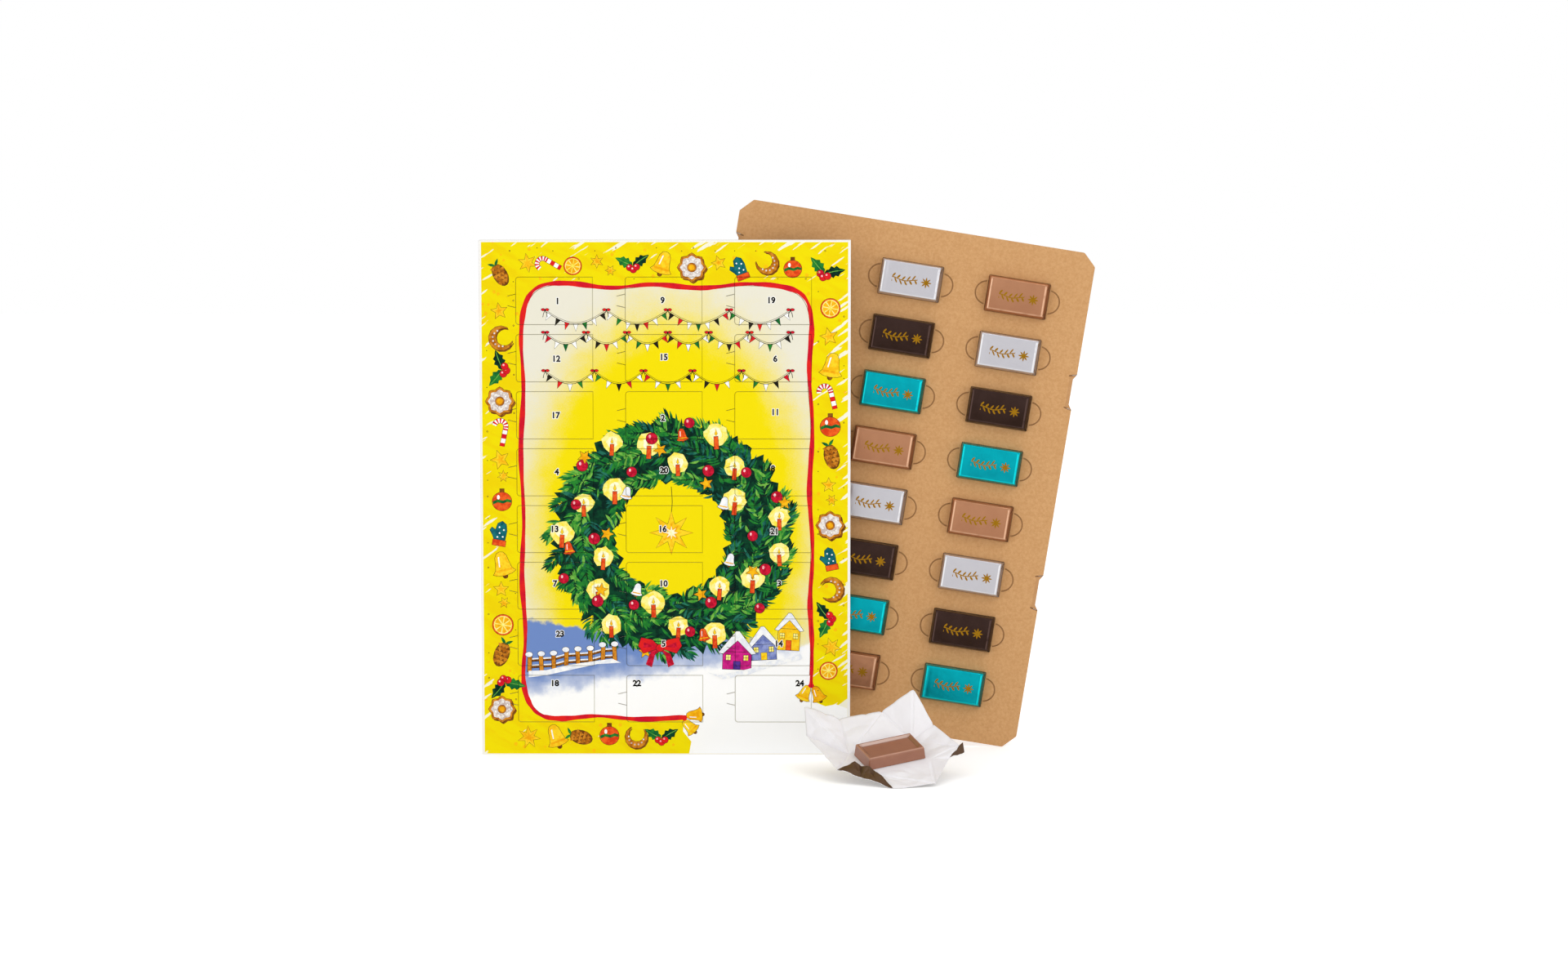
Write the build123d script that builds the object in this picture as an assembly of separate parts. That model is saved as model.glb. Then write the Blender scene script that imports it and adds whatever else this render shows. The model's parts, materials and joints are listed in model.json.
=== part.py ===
"""Chocolate advent calendar: printed carton sleeve, kraft tray of wrapped bars, one bar unwrapped.

The sleeve stands upright and faces -Y. The tray stands behind it, turned in its own plane, as it
does when it has been drawn out. The bar from behind the lowest left door lies in front of the
sleeve on its opened wrapper. The origin is the centre of the sleeve's bottom face, +X is to the
right, +Y to the back and +Z up. All lengths are in millimetres.
"""

from build123d import *
import os

# Carton sleeve
sleeve_width = 247.0
sleeve_height = 345.0
sleeve_depth = 14.0
card = 0.5
fold_radius = 0.4
flap_gap = 0.1
tuck_reach = 9.0
tuck_slant = 3.9
tuck_side_room = 3.0
tuck_taper = 4.0
dust_flap_length = 28.0
dust_flap_taper = 3.0
dust_flap_room = 2.4
glue_flap_depth = 11.5
glue_flap_end_room = 6.0
glue_flap_taper = 8.0

# Doors, punched in the front of the sleeve, and the share of the free width or height in each gap
door_rows = 8
door_columns = 3
door_width = 51.0
door_height = 31.6
column_gap_share = 0.23085
row_gap_share = 0.0705
grid_shift_x = -0.75
grid_shift_z = -1.0
door_corner_radius = 2.0
punched_line = 0.12
tab_length = 5.5
tab_root_height = 9.0
tab_end_height = 6.4
tab_slit = 0.25

# The numbers printed on the doors, row by row from the top left
door_numbers = (
    (1, 9, 19),
    (12, 15, 6),
    (17, 2, 11),
    (4, 20, 8),
    (13, 16, 21),
    (7, 10, 3),
    (23, 5, 14),
    (18, 22, 24),
)
opened_door = "18"

# Foil wrapped bars
bar_length = 41.5
bar_width = 24.0
bar_height = 8.0
bar_corner_radius = 1.2
bar_draft_angle = 12.0
bar_top_edge = 0.5
ridge_width = 0.8
ridge_height = 0.3
ridge_inset = 0.5

# Kraft tray
tray_side_room = 2.0
tray_end_room = 2.5
tray_card = 0.6
tray_wall_depth = 5.0
tray_corner_cut = 8.5
tray_corner_radius = 2.0
backing_card = 0.5
backing_side_room = 0.3
backing_end_inset = 1.0
window_gap = 0.3
window_corner_radius = 1.0
thumb_cut_radius = 7.8
thumb_cut_line = 0.3
thumb_cut_neck = 1.0
notch_length = 24.0
notch_depth = 2.2
notch_end_run = 3.4
notch_slit_length = 5.0
notch_slit_width = 0.15
notch_slit_angle = 14.0
notch_spacing = 138.0
right_notch_drop = 82.0
left_notch_drop = 23.5
tray_turn_angle = 9.1
tray_offset_x = 143.2
tray_air_gap = 1.5
bar_travel = 12.0

# Bar without its wrapper
bare_length = 41.0
bare_width = 23.6
bare_height = 7.8
bare_draft_angle = 8.0
bare_corner_radius = 1.5
bare_edge_radius = 0.9
rim_width = 3.0
panel_sink = 1.5
panel_slope_angle = 48.0
panel_corner_radius = 0.6

# Opened wrapper, propped on a fold at its back
wrapper_length = 88.0
wrapper_width = 100.0
wrapper_lift = 24.0
wrapper_sheet = 0.4
seat_margin = 2.0
wrapper_turn_angle = 23.8
wrapper_tilt_angle = 19.0
wrapper_offset_x = 148.0
wrapper_offset_y = -97.0

# Each rim point as shares of the wrapper's length, width and lift, from the near left corner on
wrapper_rim_shares = (
    (-0.18, -0.40, 0.00),
    (0.14, -0.43, 0.00),
    (0.39, -0.18, 0.04),
    (0.52, -0.09, 0.12),
    (0.45, 0.18, 0.29),
    (0.40, 0.39, 1.00),
    (0.14, 0.39, 0.50),
    (-0.17, 0.46, 0.38),
    (-0.39, 0.59, 0.67),
    (-0.45, 0.44, 0.12),
    (-0.45, -0.05, 0.08),
)
# The seat corner that each rim span folds from: near left, near right, far right, far left
rim_span_corners = (0, 1, 1, 2, 2, 2, 3, 3, 3, 3, 0)

# Sizes that follow
half_width = sleeve_width / 2
half_depth = sleeve_depth / 2
inner_half_width = half_width - card
inner_half_depth = half_depth - card
grid_centre_z = sleeve_height / 2 + grid_shift_z
column_pitch = door_width + column_gap_share * (sleeve_width - door_columns * door_width)
row_pitch = door_height + row_gap_share * (sleeve_height - door_rows * door_height)
tray_width = sleeve_width - 2 * (card + tray_side_room)
tray_height = sleeve_height - 2 * tray_end_room
bar_stand = bar_height - tray_card
tray_front_y = half_depth + tray_air_gap + bar_travel + bar_stand


def column_x(column):
    """X of a column's middle, counted from the left, about the middle of the sleeve."""
    return (column - (door_columns - 1) / 2) * column_pitch


def row_z(row):
    """Z of a row's middle, counted from the top, about the middle of the grid."""
    return ((door_rows - 1) / 2 - row) * row_pitch


def grid_places():
    """Each place in the grid: its number and its X and Z about the middle of the grid."""
    for row, numbers in enumerate(door_numbers):
        for column, number in enumerate(numbers):
            yield number, column_x(column), row_z(row)


def standing_sheet(outline, front_y, thickness):
    """A sheet standing in X and Z, with its front face at front_y."""
    return Pos(0, front_y + thickness, 0) * Rot(90, 0, 0) * extrude(outline, amount=thickness)


def end_profile_sheet(points, length):
    """A sheet bent along X, its section given by points in Y and Z."""
    section = Plane.YZ * Polygon(*points, align=None)
    return extrude(section, amount=length / 2, both=True)


# Sleeve walls

def door_outline(gap):
    """A door's outline about its hinge corner line, with its free corners rounded."""
    width = door_width - gap
    outline = Pos(-width / 2, 0) * Rectangle(width, door_height - 2 * gap)
    free_corners = outline.vertices().group_by(Axis.X)[0]
    return fillet(free_corners, door_corner_radius - gap)


def tab_slits():
    """The two slits that run out from a door's free edge and leave a finger tab between them."""
    for side in (1, -1):
        root = side * tab_root_height / 2
        end = side * tab_end_height / 2
        yield Pos(-door_width, 0) * Polygon(
            (punched_line, root + tab_slit / 2),
            (-tab_length, end + tab_slit / 2),
            (-tab_length, end - tab_slit / 2),
            (punched_line, root - tab_slit / 2),
            align=None,
        )


def hinge_places():
    """Each door's number and the middle of its hinge line in X and Z."""
    for number, x, z in grid_places():
        yield number, x + grid_shift_x + door_width / 2, grid_centre_z + z


def folded_edges(sheet, side):
    """Round the two upright outer edges where the carton folds round its corners."""
    outer = sheet.edges().filter_by(Axis.Z).group_by(Axis.Y)[0 if side < 0 else -1]
    return fillet(outer, fold_radius)


def make_front_panel():
    """The printed front with its door openings and finger tab slits."""
    wall = Pos(0, sleeve_height / 2) * Rectangle(sleeve_width, sleeve_height)
    solid = folded_edges(standing_sheet(wall, -half_depth, card), -1)
    cuts = []
    for number, x, z in hinge_places():
        cuts.append(Pos(x, z) * door_outline(0))
        cuts.extend(Pos(x, z) * slit for slit in tab_slits())
    return solid - [standing_sheet(cut, -half_depth, card) for cut in cuts]


def make_back_panel():
    wall = Pos(0, sleeve_height / 2) * Rectangle(sleeve_width, sleeve_height)
    return folded_edges(standing_sheet(wall, inner_half_depth, card), 1)


def make_spine(side):
    """A narrow side wall between front and back."""
    wall = Box(card, 2 * inner_half_depth, sleeve_height)
    return Pos(side * (half_width - card / 2), 0, sleeve_height / 2) * wall


def make_glue_flap():
    """The flap on the back wall's edge that is glued inside the left spine."""
    low = glue_flap_end_room
    high = sleeve_height - glue_flap_end_room
    front_y = inner_half_depth - glue_flap_depth
    outline = Plane.YZ * Polygon(
        (inner_half_depth, low),
        (inner_half_depth, high),
        (front_y, high - glue_flap_taper),
        (front_y, low + glue_flap_taper),
        align=None,
    )
    return Pos(-inner_half_width, 0, 0) * extrude(outline, amount=card)


# Sleeve ends

def make_end_flap():
    """The top closure: a lid hinged at the front wall, with a tongue tucked in at the back.

    The tongue slants inwards, so that every point of it swings clear of the back wall.
    """
    tip_y = inner_half_depth - flap_gap
    lid = Pos(0, (tip_y - inner_half_depth) / 2, sleeve_height - card / 2) * Box(
        2 * inner_half_width, tip_y + inner_half_depth, card
    )
    under = sleeve_height - card
    tongue = end_profile_sheet(
        (
            (tip_y, under),
            (tip_y - tuck_slant, sleeve_height - tuck_reach),
            (tip_y - tuck_slant - card, sleeve_height - tuck_reach),
            (tip_y - card, under),
        ),
        2 * (inner_half_width - tuck_side_room),
    )
    corner_cut = Plane.XZ * Polygon(
        (inner_half_width, sleeve_height - tuck_reach),
        (inner_half_width, under - tuck_taper),
        (inner_half_width - tuck_side_room - tuck_taper, sleeve_height - tuck_reach),
        align=None,
    )
    corner = extrude(corner_cut, amount=sleeve_depth, both=True)
    return lid + (tongue - corner - mirror(corner, Plane.YZ))


def make_bottom_flap():
    """The glued bottom closure, the same shape as the top one turned over."""
    return Pos(0, 0, sleeve_height) * mirror(make_end_flap(), Plane.XY)


def make_dust_flaps():
    """The four short flaps of the spines, folded in under the two closures."""
    far_y = inner_half_depth - flap_gap - dust_flap_room
    near_y = flap_gap - inner_half_depth
    outline = Polygon(
        (inner_half_width, near_y),
        (inner_half_width, far_y),
        (inner_half_width - dust_flap_length, far_y - dust_flap_taper),
        (inner_half_width - dust_flap_length, near_y + dust_flap_taper),
        align=None,
    )
    low_flap = Pos(0, 0, card + flap_gap) * extrude(outline, amount=card)
    high_flap = Pos(0, 0, sleeve_height) * mirror(low_flap, Plane.XY)
    pair = [low_flap, high_flap]
    return Compound(children=pair + [mirror(flap, Plane.YZ) for flap in pair])


def make_door(x, z):
    """One door, closed, hinged along its right edge."""
    return standing_sheet(Pos(x, z) * door_outline(punched_line), -half_depth, card)


# Kraft tray, in its own frame: X right and Z up about its middle, front face at Y zero

def tray_place():
    """Where the tray stands: turned in its plane, its lowest corner on the ground."""
    turned = Rot(0, tray_turn_angle, 0) * standing_sheet(tray_outline(), 0, tray_card)
    return Pos(tray_offset_x, tray_front_y, -turned.bounding_box().min.Z) * Rot(0, tray_turn_angle, 0)


def tray_outline():
    """The tray card's outline, with its corners cut off."""
    outline = chamfer(Rectangle(tray_width, tray_height).vertices(), tray_corner_cut)
    return fillet(outline.vertices(), tray_corner_radius)


def notch_middles(side):
    """Z of the two notches on one long edge, counted down from the top."""
    drop = right_notch_drop if side > 0 else left_notch_drop
    first = tray_height / 2 - drop - notch_length / 2
    return first, first - notch_spacing


def notch_cuts(side):
    """What a notch takes from the card: the edge set back, slanted at its ends, and two slits."""
    edge = side * tray_width / 2
    half = notch_length / 2
    set_back = edge - side * notch_depth
    low_half = half - notch_end_run
    reach = notch_slit_length / 2 - notch_slit_width
    slit = Pos(-side * reach, 0) * Rectangle(notch_slit_length, notch_slit_width)
    return [
        Polygon((edge, -half), (edge, half), (set_back, low_half), (set_back, -low_half), align=None),
        Pos(edge, half) * Rot(0, 0, side * notch_slit_angle) * slit,
        Pos(edge, -half) * Rot(0, 0, -side * notch_slit_angle) * slit,
    ]


def tray_wall(side):
    """One long wall, folded back from the card, with two stretches set in at the notches."""
    length = tray_height - 2 * (tray_corner_cut + tray_corner_radius)
    wall = Box(tray_card, tray_wall_depth, length)
    wall_x = side * (tray_width / 2 - tray_card / 2)
    solid = Pos(wall_x, tray_wall_depth / 2, 0) * wall
    gap = Box(tray_card, tray_wall_depth, notch_length)
    inset = Box(tray_card, tray_wall_depth, notch_length - 2 * notch_end_run)
    for z in notch_middles(side):
        solid -= Pos(wall_x, tray_wall_depth / 2, z) * gap
        solid += Pos(wall_x - side * notch_depth, tray_wall_depth / 2, z) * inset
    return solid


def thumb_cut(side):
    """The half moon line punched beside a window, so that a thumb can press in."""
    outer = thumb_cut_radius + thumb_cut_line / 2
    ring = Circle(outer) - Circle(outer - thumb_cut_line)
    start = window_gap + thumb_cut_neck
    kept = Pos(side * (start + outer / 2), 0) * Rectangle(outer, 2 * outer)
    return Pos(side * bar_length / 2, 0) * (ring & kept)


def make_tray_panel():
    """The window card with its windows, thumb cuts, notched edges and folded long walls."""
    window = RectangleRounded(
        bar_length + 2 * window_gap, bar_width + 2 * window_gap, window_corner_radius
    )
    outline = tray_outline()
    cuts = []
    for number, x, z in grid_places():
        cuts.append(Pos(x, z) * window)
        cuts.extend(Pos(x, z) * thumb_cut(side) for side in (1, -1))
    for side in (1, -1):
        for z in notch_middles(side):
            cuts.extend(Pos(0, z) * cut for cut in notch_cuts(side))
    solid = standing_sheet(outline - cuts, 0, tray_card)
    for side in (1, -1):
        solid += tray_wall(side)
    return solid


def make_tray_backing():
    """The plain card glued behind the windows, which the bars lie on."""
    side_inset = tray_card + notch_depth + backing_side_room
    outline = Rectangle(tray_width - 2 * side_inset, tray_height - 2 * backing_end_inset)
    return standing_sheet(chamfer(outline.vertices(), tray_corner_cut), tray_card, backing_card)


def make_wrapped_bar():
    """A bar folded into foil: drafted sides, soft corners and a ridge of foil near each end."""
    base = RectangleRounded(bar_length, bar_width, bar_corner_radius)
    block = extrude(base, amount=bar_height - ridge_height, taper=bar_draft_angle)
    top = block.faces().sort_by(Axis.Z)[-1]
    block = chamfer(top.edges(), bar_top_edge)
    flat = block.faces().sort_by(Axis.Z)[-1].bounding_box()
    crest = bar_height - ridge_height
    for side in (1, -1):
        middle = side * (flat.max.X - ridge_inset - ridge_width / 2)
        section = Plane.XZ * Polygon(
            (middle - ridge_width / 2, crest - ridge_height),
            (middle - ridge_width / 2, crest),
            (middle, bar_height),
            (middle + ridge_width / 2, crest),
            (middle + ridge_width / 2, crest - ridge_height),
            align=None,
        )
        block += extrude(section, amount=flat.max.Y - ridge_inset, both=True)
    return block


# Unwrapped bar and its wrapper, in their own frame: the seat's middle at the origin, facing +Z

def wrapper_seat():
    """The four corners of the flat seat that the bar lies on, near left first."""
    half_x = bare_length / 2 + seat_margin
    half_y = bare_width / 2 + seat_margin
    return ((-half_x, -half_y, 0), (half_x, -half_y, 0), (half_x, half_y, 0), (-half_x, half_y, 0))


def wrapper_tilt():
    return Rot(wrapper_tilt_angle, 0, 0) * Rot(0, 0, wrapper_turn_angle)


def folded_sheet(corners):
    """One flat facet of the wrapper, as thick as the sheet along its own Z."""
    return extrude(make_face(Polyline(*corners, close=True)), amount=wrapper_sheet, dir=(0, 0, 1))


def make_wrapper_sheet():
    """The opened sheet: a seat with facets rising from it to the rim."""
    seat = wrapper_seat()
    rim = [
        (wrapper_length * u, wrapper_width * v, wrapper_lift * w)
        for u, v, w in wrapper_rim_shares
    ]
    facets = [folded_sheet(seat)]
    for place, corner in enumerate(rim_span_corners):
        following = (place + 1) % len(rim)
        facets.append(folded_sheet((seat[corner], rim[place], rim[following])))
        next_corner = rim_span_corners[following]
        if next_corner != corner:
            facets.append(folded_sheet((seat[corner], rim[following], seat[next_corner])))
    return facets[0] + facets[1:]


def wrapper_place():
    """Where the wrapper lies: turned, tilted, its lowest corner on the ground."""
    tilted = wrapper_tilt() * make_wrapper_sheet()
    drop = -tilted.bounding_box().min.Z
    return Pos(wrapper_offset_x, wrapper_offset_y, drop) * wrapper_tilt()


def make_open_wrapper():
    """The opened wrapper where it lies, with the fold that props its far side."""
    place = wrapper_place() * Pos(0, 0, wrapper_sheet / 2)
    sheet = wrapper_place() * make_wrapper_sheet()
    far_right, far_left = [(place * Pos(*corner)).position for corner in wrapper_seat()[2:]]
    along = far_right - far_left
    back = Vector(-along.Y, along.X, 0).normalized()
    prop = make_face(
        Polyline(
            far_left,
            far_right,
            Vector(far_right.X, far_right.Y, 0),
            Vector(far_left.X, far_left.Y, 0),
            close=True,
        )
    )
    return sheet + extrude(prop, amount=wrapper_sheet, dir=back)


def make_unwrapped_bar():
    """The chocolate itself: drafted sides, and a raised rim that slopes in to a sunk panel."""
    base = RectangleRounded(bare_length, bare_width, bare_corner_radius)
    block = extrude(base, amount=bare_height, taper=bare_draft_angle)
    top = block.faces().sort_by(Axis.Z)[-1]
    size = top.bounding_box().size
    floor = RectangleRounded(size.X - 2 * rim_width, size.Y - 2 * rim_width, panel_corner_radius)
    sunk = extrude(floor, amount=panel_sink, taper=-panel_slope_angle)
    block = fillet(top.edges(), bare_edge_radius) - Pos(0, 0, bare_height - panel_sink) * sunk
    return wrapper_place() * Pos(0, 0, wrapper_sheet) * block


# Writing the pieces

def write(shape, node):
    export_step(shape, "parts/" + node + ".step")


def write_sleeve():
    write(make_front_panel(), "front_panel")
    write(make_back_panel(), "back_panel")
    write(make_spine(-1), "left_spine")
    write(make_spine(1), "right_spine")
    write(make_glue_flap(), "glue_flap")
    write(make_end_flap(), "top_flap")
    write(make_bottom_flap(), "bottom_flap")
    write(make_dust_flaps(), "dust_flaps")
    for number, x, z in hinge_places():
        write(make_door(x, z), f"door_{number:02d}")


def write_tray():
    place = tray_place()
    write(place * make_tray_panel(), "tray_panel")
    write(place * make_tray_backing(), "tray_backing")
    bar = make_wrapped_bar()
    for number, x, z in grid_places():
        label = f"{number:02d}"
        if label != opened_door:
            seat = place * Pos(x, tray_card, z) * Rot(90, 0, 0)
            write(seat * bar, "chocolate_" + label)


def write_opened_bar():
    write(make_open_wrapper(), "open_wrapper")
    write(make_unwrapped_bar(), "unwrapped_bar")


os.makedirs("parts", exist_ok=True)
write_sleeve()
write_tray()
write_opened_bar()
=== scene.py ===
"""Looks of the chocolate advent calendar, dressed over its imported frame.

Sizes in the drawing of the print are millimetres on the front, X to the right and Z up from the
sleeve's bottom middle. Everything that Blender gets is in metres.
"""

import json
import math
import random

import bmesh
import bpy
from mathutils import Matrix, Vector, noise
from mathutils.geometry import intersect_point_line, tessellate_polygon

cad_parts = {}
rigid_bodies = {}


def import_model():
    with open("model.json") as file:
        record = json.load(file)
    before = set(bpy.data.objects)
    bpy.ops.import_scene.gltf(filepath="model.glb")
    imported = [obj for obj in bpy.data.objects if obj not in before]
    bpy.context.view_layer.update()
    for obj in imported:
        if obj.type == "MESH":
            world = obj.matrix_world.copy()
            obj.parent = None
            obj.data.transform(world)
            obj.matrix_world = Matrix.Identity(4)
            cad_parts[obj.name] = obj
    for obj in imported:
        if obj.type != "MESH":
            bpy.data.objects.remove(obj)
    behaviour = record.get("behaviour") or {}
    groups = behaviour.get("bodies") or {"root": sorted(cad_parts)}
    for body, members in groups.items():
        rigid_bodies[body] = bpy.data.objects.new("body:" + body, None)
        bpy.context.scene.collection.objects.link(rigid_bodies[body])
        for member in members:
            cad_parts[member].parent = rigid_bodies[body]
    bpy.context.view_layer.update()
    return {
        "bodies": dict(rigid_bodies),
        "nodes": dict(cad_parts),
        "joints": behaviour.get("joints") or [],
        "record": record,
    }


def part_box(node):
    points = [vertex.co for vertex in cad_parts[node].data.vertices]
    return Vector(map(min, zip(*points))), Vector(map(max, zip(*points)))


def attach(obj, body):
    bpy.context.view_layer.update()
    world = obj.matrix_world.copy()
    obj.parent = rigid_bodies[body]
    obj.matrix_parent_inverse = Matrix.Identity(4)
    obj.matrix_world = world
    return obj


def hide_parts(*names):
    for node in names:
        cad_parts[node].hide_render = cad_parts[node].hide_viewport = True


MM = 0.001
FRONT_Y = -7.0
DOOR_WIDTH = 51.0
DOOR_HEIGHT = 31.6
DOOR_CORNER = 2.0
PUNCHED_LINE = 0.12
COLUMN_PITCH = 72.7
ROW_PITCH = 38.1
GRID_X = -0.75
GRID_Z = 171.5
TAB_LENGTH = 5.5
TAB_ROOT = 4.5
TAB_END = 3.2
TAB_SLIT = 0.25
LAYER = 0.006
PRINT_GLOSS = 0.06
TRAY_MIDDLE = (143.2, 185.5)
TRAY_TURN = math.radians(9.1)
TRAY_WIDTH = 242.0
TRAY_CARD_BACK = 28.45
NOTCH_LENGTH = 24.0
NOTCH_LOW = (-3.5, -62.0)
NOTCH_SPACING = 138.0
NOTCH_SLIT = 5.0
NOTCH_SLIT_SLOPE = math.tan(math.radians(14.0))
BAR_LENGTH = 41.5
BAR_WIDTH = 24.0
BAR_PLAN = 50.0
THUMB_RADIUS = 7.8
LEAF_PITCH = 3.4
WRAPPER_PLACE = (148.0, -97.0, 14.0)
WRAPPER_TILT = math.radians(19.0)
WRAPPER_TURN = math.radians(23.8)
PANEL_EDGE = (18.1, 9.4)
PANEL_SLOPE = 1.7
PANEL_LEVEL = 6.7
WHITE = (1.0, 1.0, 1.0, 1.0)

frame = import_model()
random.seed(24)


# Colours and nodes

def linear(red, green, blue):
    """A colour given as 0 to 255, as the linear values that shaders take."""
    def channel(value):
        value /= 255
        return value / 12.92 if value <= 0.04045 else ((value + 0.055) / 1.055) ** 2.4
    return (channel(red), channel(green), channel(blue), 1.0)


def operator(operation, swapped=False):
    """A method that adds the maths node of an arithmetic sign."""
    def apply(first, second):
        pair = (second, first) if swapped else (first, second)
        return first.nodes.math(operation, *pair)
    return apply


class Value:
    """An output of a node. Arithmetic on it adds maths nodes."""

    __add__ = operator("ADD")
    __radd__ = operator("ADD", swapped=True)
    __sub__ = operator("SUBTRACT")
    __rsub__ = operator("SUBTRACT", swapped=True)
    __mul__ = operator("MULTIPLY")
    __truediv__ = operator("DIVIDE")
    __mod__ = operator("MODULO")
    __lt__ = operator("LESS_THAN")
    __gt__ = operator("GREATER_THAN")

    def __init__(self, nodes, socket):
        self.nodes = nodes
        self.socket = socket

    def __abs__(self):
        return self.nodes.math("ABSOLUTE", self)

    def clamped(self, low, high):
        return self.nodes.math("MINIMUM", larger(self, low), high)

    def step(self, low, high):
        """0 below low, 1 above high, smooth between; low may be the larger one."""
        return self.nodes.run("ShaderNodeMapRange", self, low, high,
                              interpolation_type="SMOOTHSTEP")[0]


def larger(first, *others):
    for other in others:
        first = first.nodes.math("MAXIMUM", first, other)
    return first


class Nodes:
    """Short calls that add nodes to one tree."""

    def __init__(self, tree):
        self.tree = tree
        # The direction looked in, and the point in the row frame at rest
        self.direction, _, _, self.place, *_ = self.run("ShaderNodeTexCoord")
        self.axes = self.split(self.place)

    def put(self, socket, value):
        if isinstance(value, Value):
            self.tree.links.new(value.socket, socket)
        else:
            socket.default_value = value

    def run(self, kind, *values, **settings):
        """Add a node with these values in its first inputs, and return all its outputs."""
        node = self.tree.nodes.new(kind)
        for name, setting in settings.items():
            setattr(node, name, setting)
        for socket, value in zip(node.inputs, values):
            self.put(socket, value)
        return [Value(self, socket) for socket in node.outputs]

    def math(self, operation, *values):
        return self.run("ShaderNodeMath", *values, operation=operation)[0]

    def split(self, vector):
        return self.run("ShaderNodeSeparateXYZ", vector)

    def join(self, x, y, z):
        return self.run("ShaderNodeCombineXYZ", x, y, z)[0]

    def length(self, first, second):
        """The length of an arrow with these two parts at right angles."""
        return self.run("ShaderNodeVectorMath", self.join(first, second, 0.0), operation="LENGTH")[1]

    def mix(self, share, first, second, blend="MIX"):
        """A mix of two colours, each a node's output, 0 to 255 in three or linear in four."""
        node = self.tree.nodes.new("ShaderNodeMix")
        node.data_type = "RGBA"
        node.blend_type = blend
        self.put(node.inputs[0], share)
        for socket, colour in zip(node.inputs[6:8], (first, second)):
            plain = isinstance(colour, tuple) and len(colour) == 3
            self.put(socket, linear(*colour) if plain else colour)
        return Value(self, node.outputs[2])

    def laid(self, colour, *layers):
        """A colour under layers, each with its share from 0 to 1 and its own colour."""
        for share, above in layers:
            colour = self.mix(share, colour, above)
        return colour

    def noise(self, size, detail=2.0, rough=0.5, stretch=(1.0, 1.0, 1.0), turn=0.0):
        """Noise from 0 to 1 with features of about this size in millimetres."""
        mapped, = self.run("ShaderNodeMapping", self.place, (0.0, 0.0, 0.0), (0.0, turn, 0.0),
                           stretch, vector_type="TEXTURE")
        return self.run("ShaderNodeTexNoise", mapped, 0.0, 1.0 / (size * MM), detail, rough)[0]

    def cells(self, size):
        """Distance to the nearest of points about this far apart in millimetres, along X and Z."""
        flat = self.join(self.axes[0], 0.0, self.axes[2])
        return self.run("ShaderNodeTexVoronoi", flat, 0.0, 1.0 / (size * MM))[0]

    def bump(self, height, distance):
        """A normal from a height of 0 to 1 that stands for this many millimetres."""
        node = self.tree.nodes.new("ShaderNodeBump")
        node.inputs["Distance"].default_value = distance * MM
        self.put(node.inputs["Height"], height)
        return Value(self, node.outputs[0])


class Group(Nodes):
    """A new node group, finished with its outputs."""

    def __init__(self, name):
        self.made = bpy.data.node_groups.new(name, "ShaderNodeTree")
        super().__init__(self.made)

    def finish(self, **outputs):
        for name in outputs:
            self.made.interface.new_socket(name, in_out="OUTPUT", socket_type="NodeSocketFloat")
        self.run("NodeGroupOutput", *outputs.values())
        return self.made


class Material(Nodes):
    """A new material, finished with what its surface takes."""

    def __init__(self, name):
        self.made = bpy.data.materials.new(name)
        self.made.use_nodes = True
        super().__init__(self.made.node_tree)
        self.surface = self.tree.nodes["Principled BSDF"].inputs

    def finish(self, colour, rough, grain=None, depth=0.0, metallic=0.0, specular=0.5):
        """Set the surface, its grain as a height that stands for this depth in millimetres."""
        self.put(self.surface["Base Color"], colour)
        self.put(self.surface["Roughness"], rough)
        self.put(self.surface["Metallic"], metallic)
        self.put(self.surface["Specular IOR Level"], specular)
        if grain is not None:
            self.put(self.surface["Normal"], self.bump(grain, depth))
        return self.made


# Lines punched in the front, seen as a crushed edge with painted shade in the cut, in every printed
# colour

def from_nearest(across, up):
    """Millimetres from the middle of the nearest door or window, by columns and rows."""
    column = across.nodes.math("ROUND", across).clamped(-1.0, 1.0)
    row = (up.nodes.math("FLOOR", up) + 0.5).clamped(-3.5, 3.5)
    return (across - column) * COLUMN_PITCH, (up - row) * ROW_PITCH


def make_punched_lines():
    """A node group whose output is 1 on the doors' punched lines and tab slits, else 0."""
    nodes = Group("punched_lines")
    x, _, z = nodes.axes
    dx, dz = from_nearest((x - GRID_X * MM) / (COLUMN_PITCH * MM),
                          (z - GRID_Z * MM) / (ROW_PITCH * MM))
    corner = (dx < 0.0) * DOOR_CORNER
    depth = abs(dz)
    qx = abs(dx) - DOOR_WIDTH / 2 + corner
    qz = depth - DOOR_HEIGHT / 2 + corner
    reach = nodes.length(larger(qx, 0.0), larger(qz, 0.0))
    inner = nodes.math("MINIMUM", larger(qx, qz), 0.0)
    edge = abs(reach + inner - corner)
    # The slit runs outwards and inwards from (-DOOR_WIDTH / 2, TAB_ROOT)
    px = dx + DOOR_WIDTH / 2
    pz = depth - TAB_ROOT
    run = (-TAB_LENGTH, TAB_END - TAB_ROOT)
    square = run[0] ** 2 + run[1] ** 2
    share = (px * (run[0] / square) + pz * (run[1] / square)).clamped(0.0, 1.0)
    gap = nodes.length(px - share * run[0], pz - share * run[1])
    return nodes.finish(Line=nodes.math("MINIMUM", edge, gap).step(0.42, 0.08))


punched_lines = make_punched_lines()


def with_lines(nodes, colour):
    """The colour darkened along the punched lines: a crushed edge, with painted shade in the cut."""
    line, = nodes.run("ShaderNodeGroup", node_tree=punched_lines)
    # A crushed edge, with painted shade in the cut, darkens every colour along the lines
    darker = nodes.mix(1.0, colour, (176, 172, 150), blend="MULTIPLY")
    return nodes.mix(line * 0.75, colour, darker)


# Materials of the print

def finish_print(nodes, colour, rough=0.55):
    """A printed surface: hardly glossy, with the fine tooth of coated card."""
    tooth = nodes.noise(0.35, detail=3.0)
    return nodes.finish(colour, rough, tooth, 0.012, specular=PRINT_GLOSS)


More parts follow.
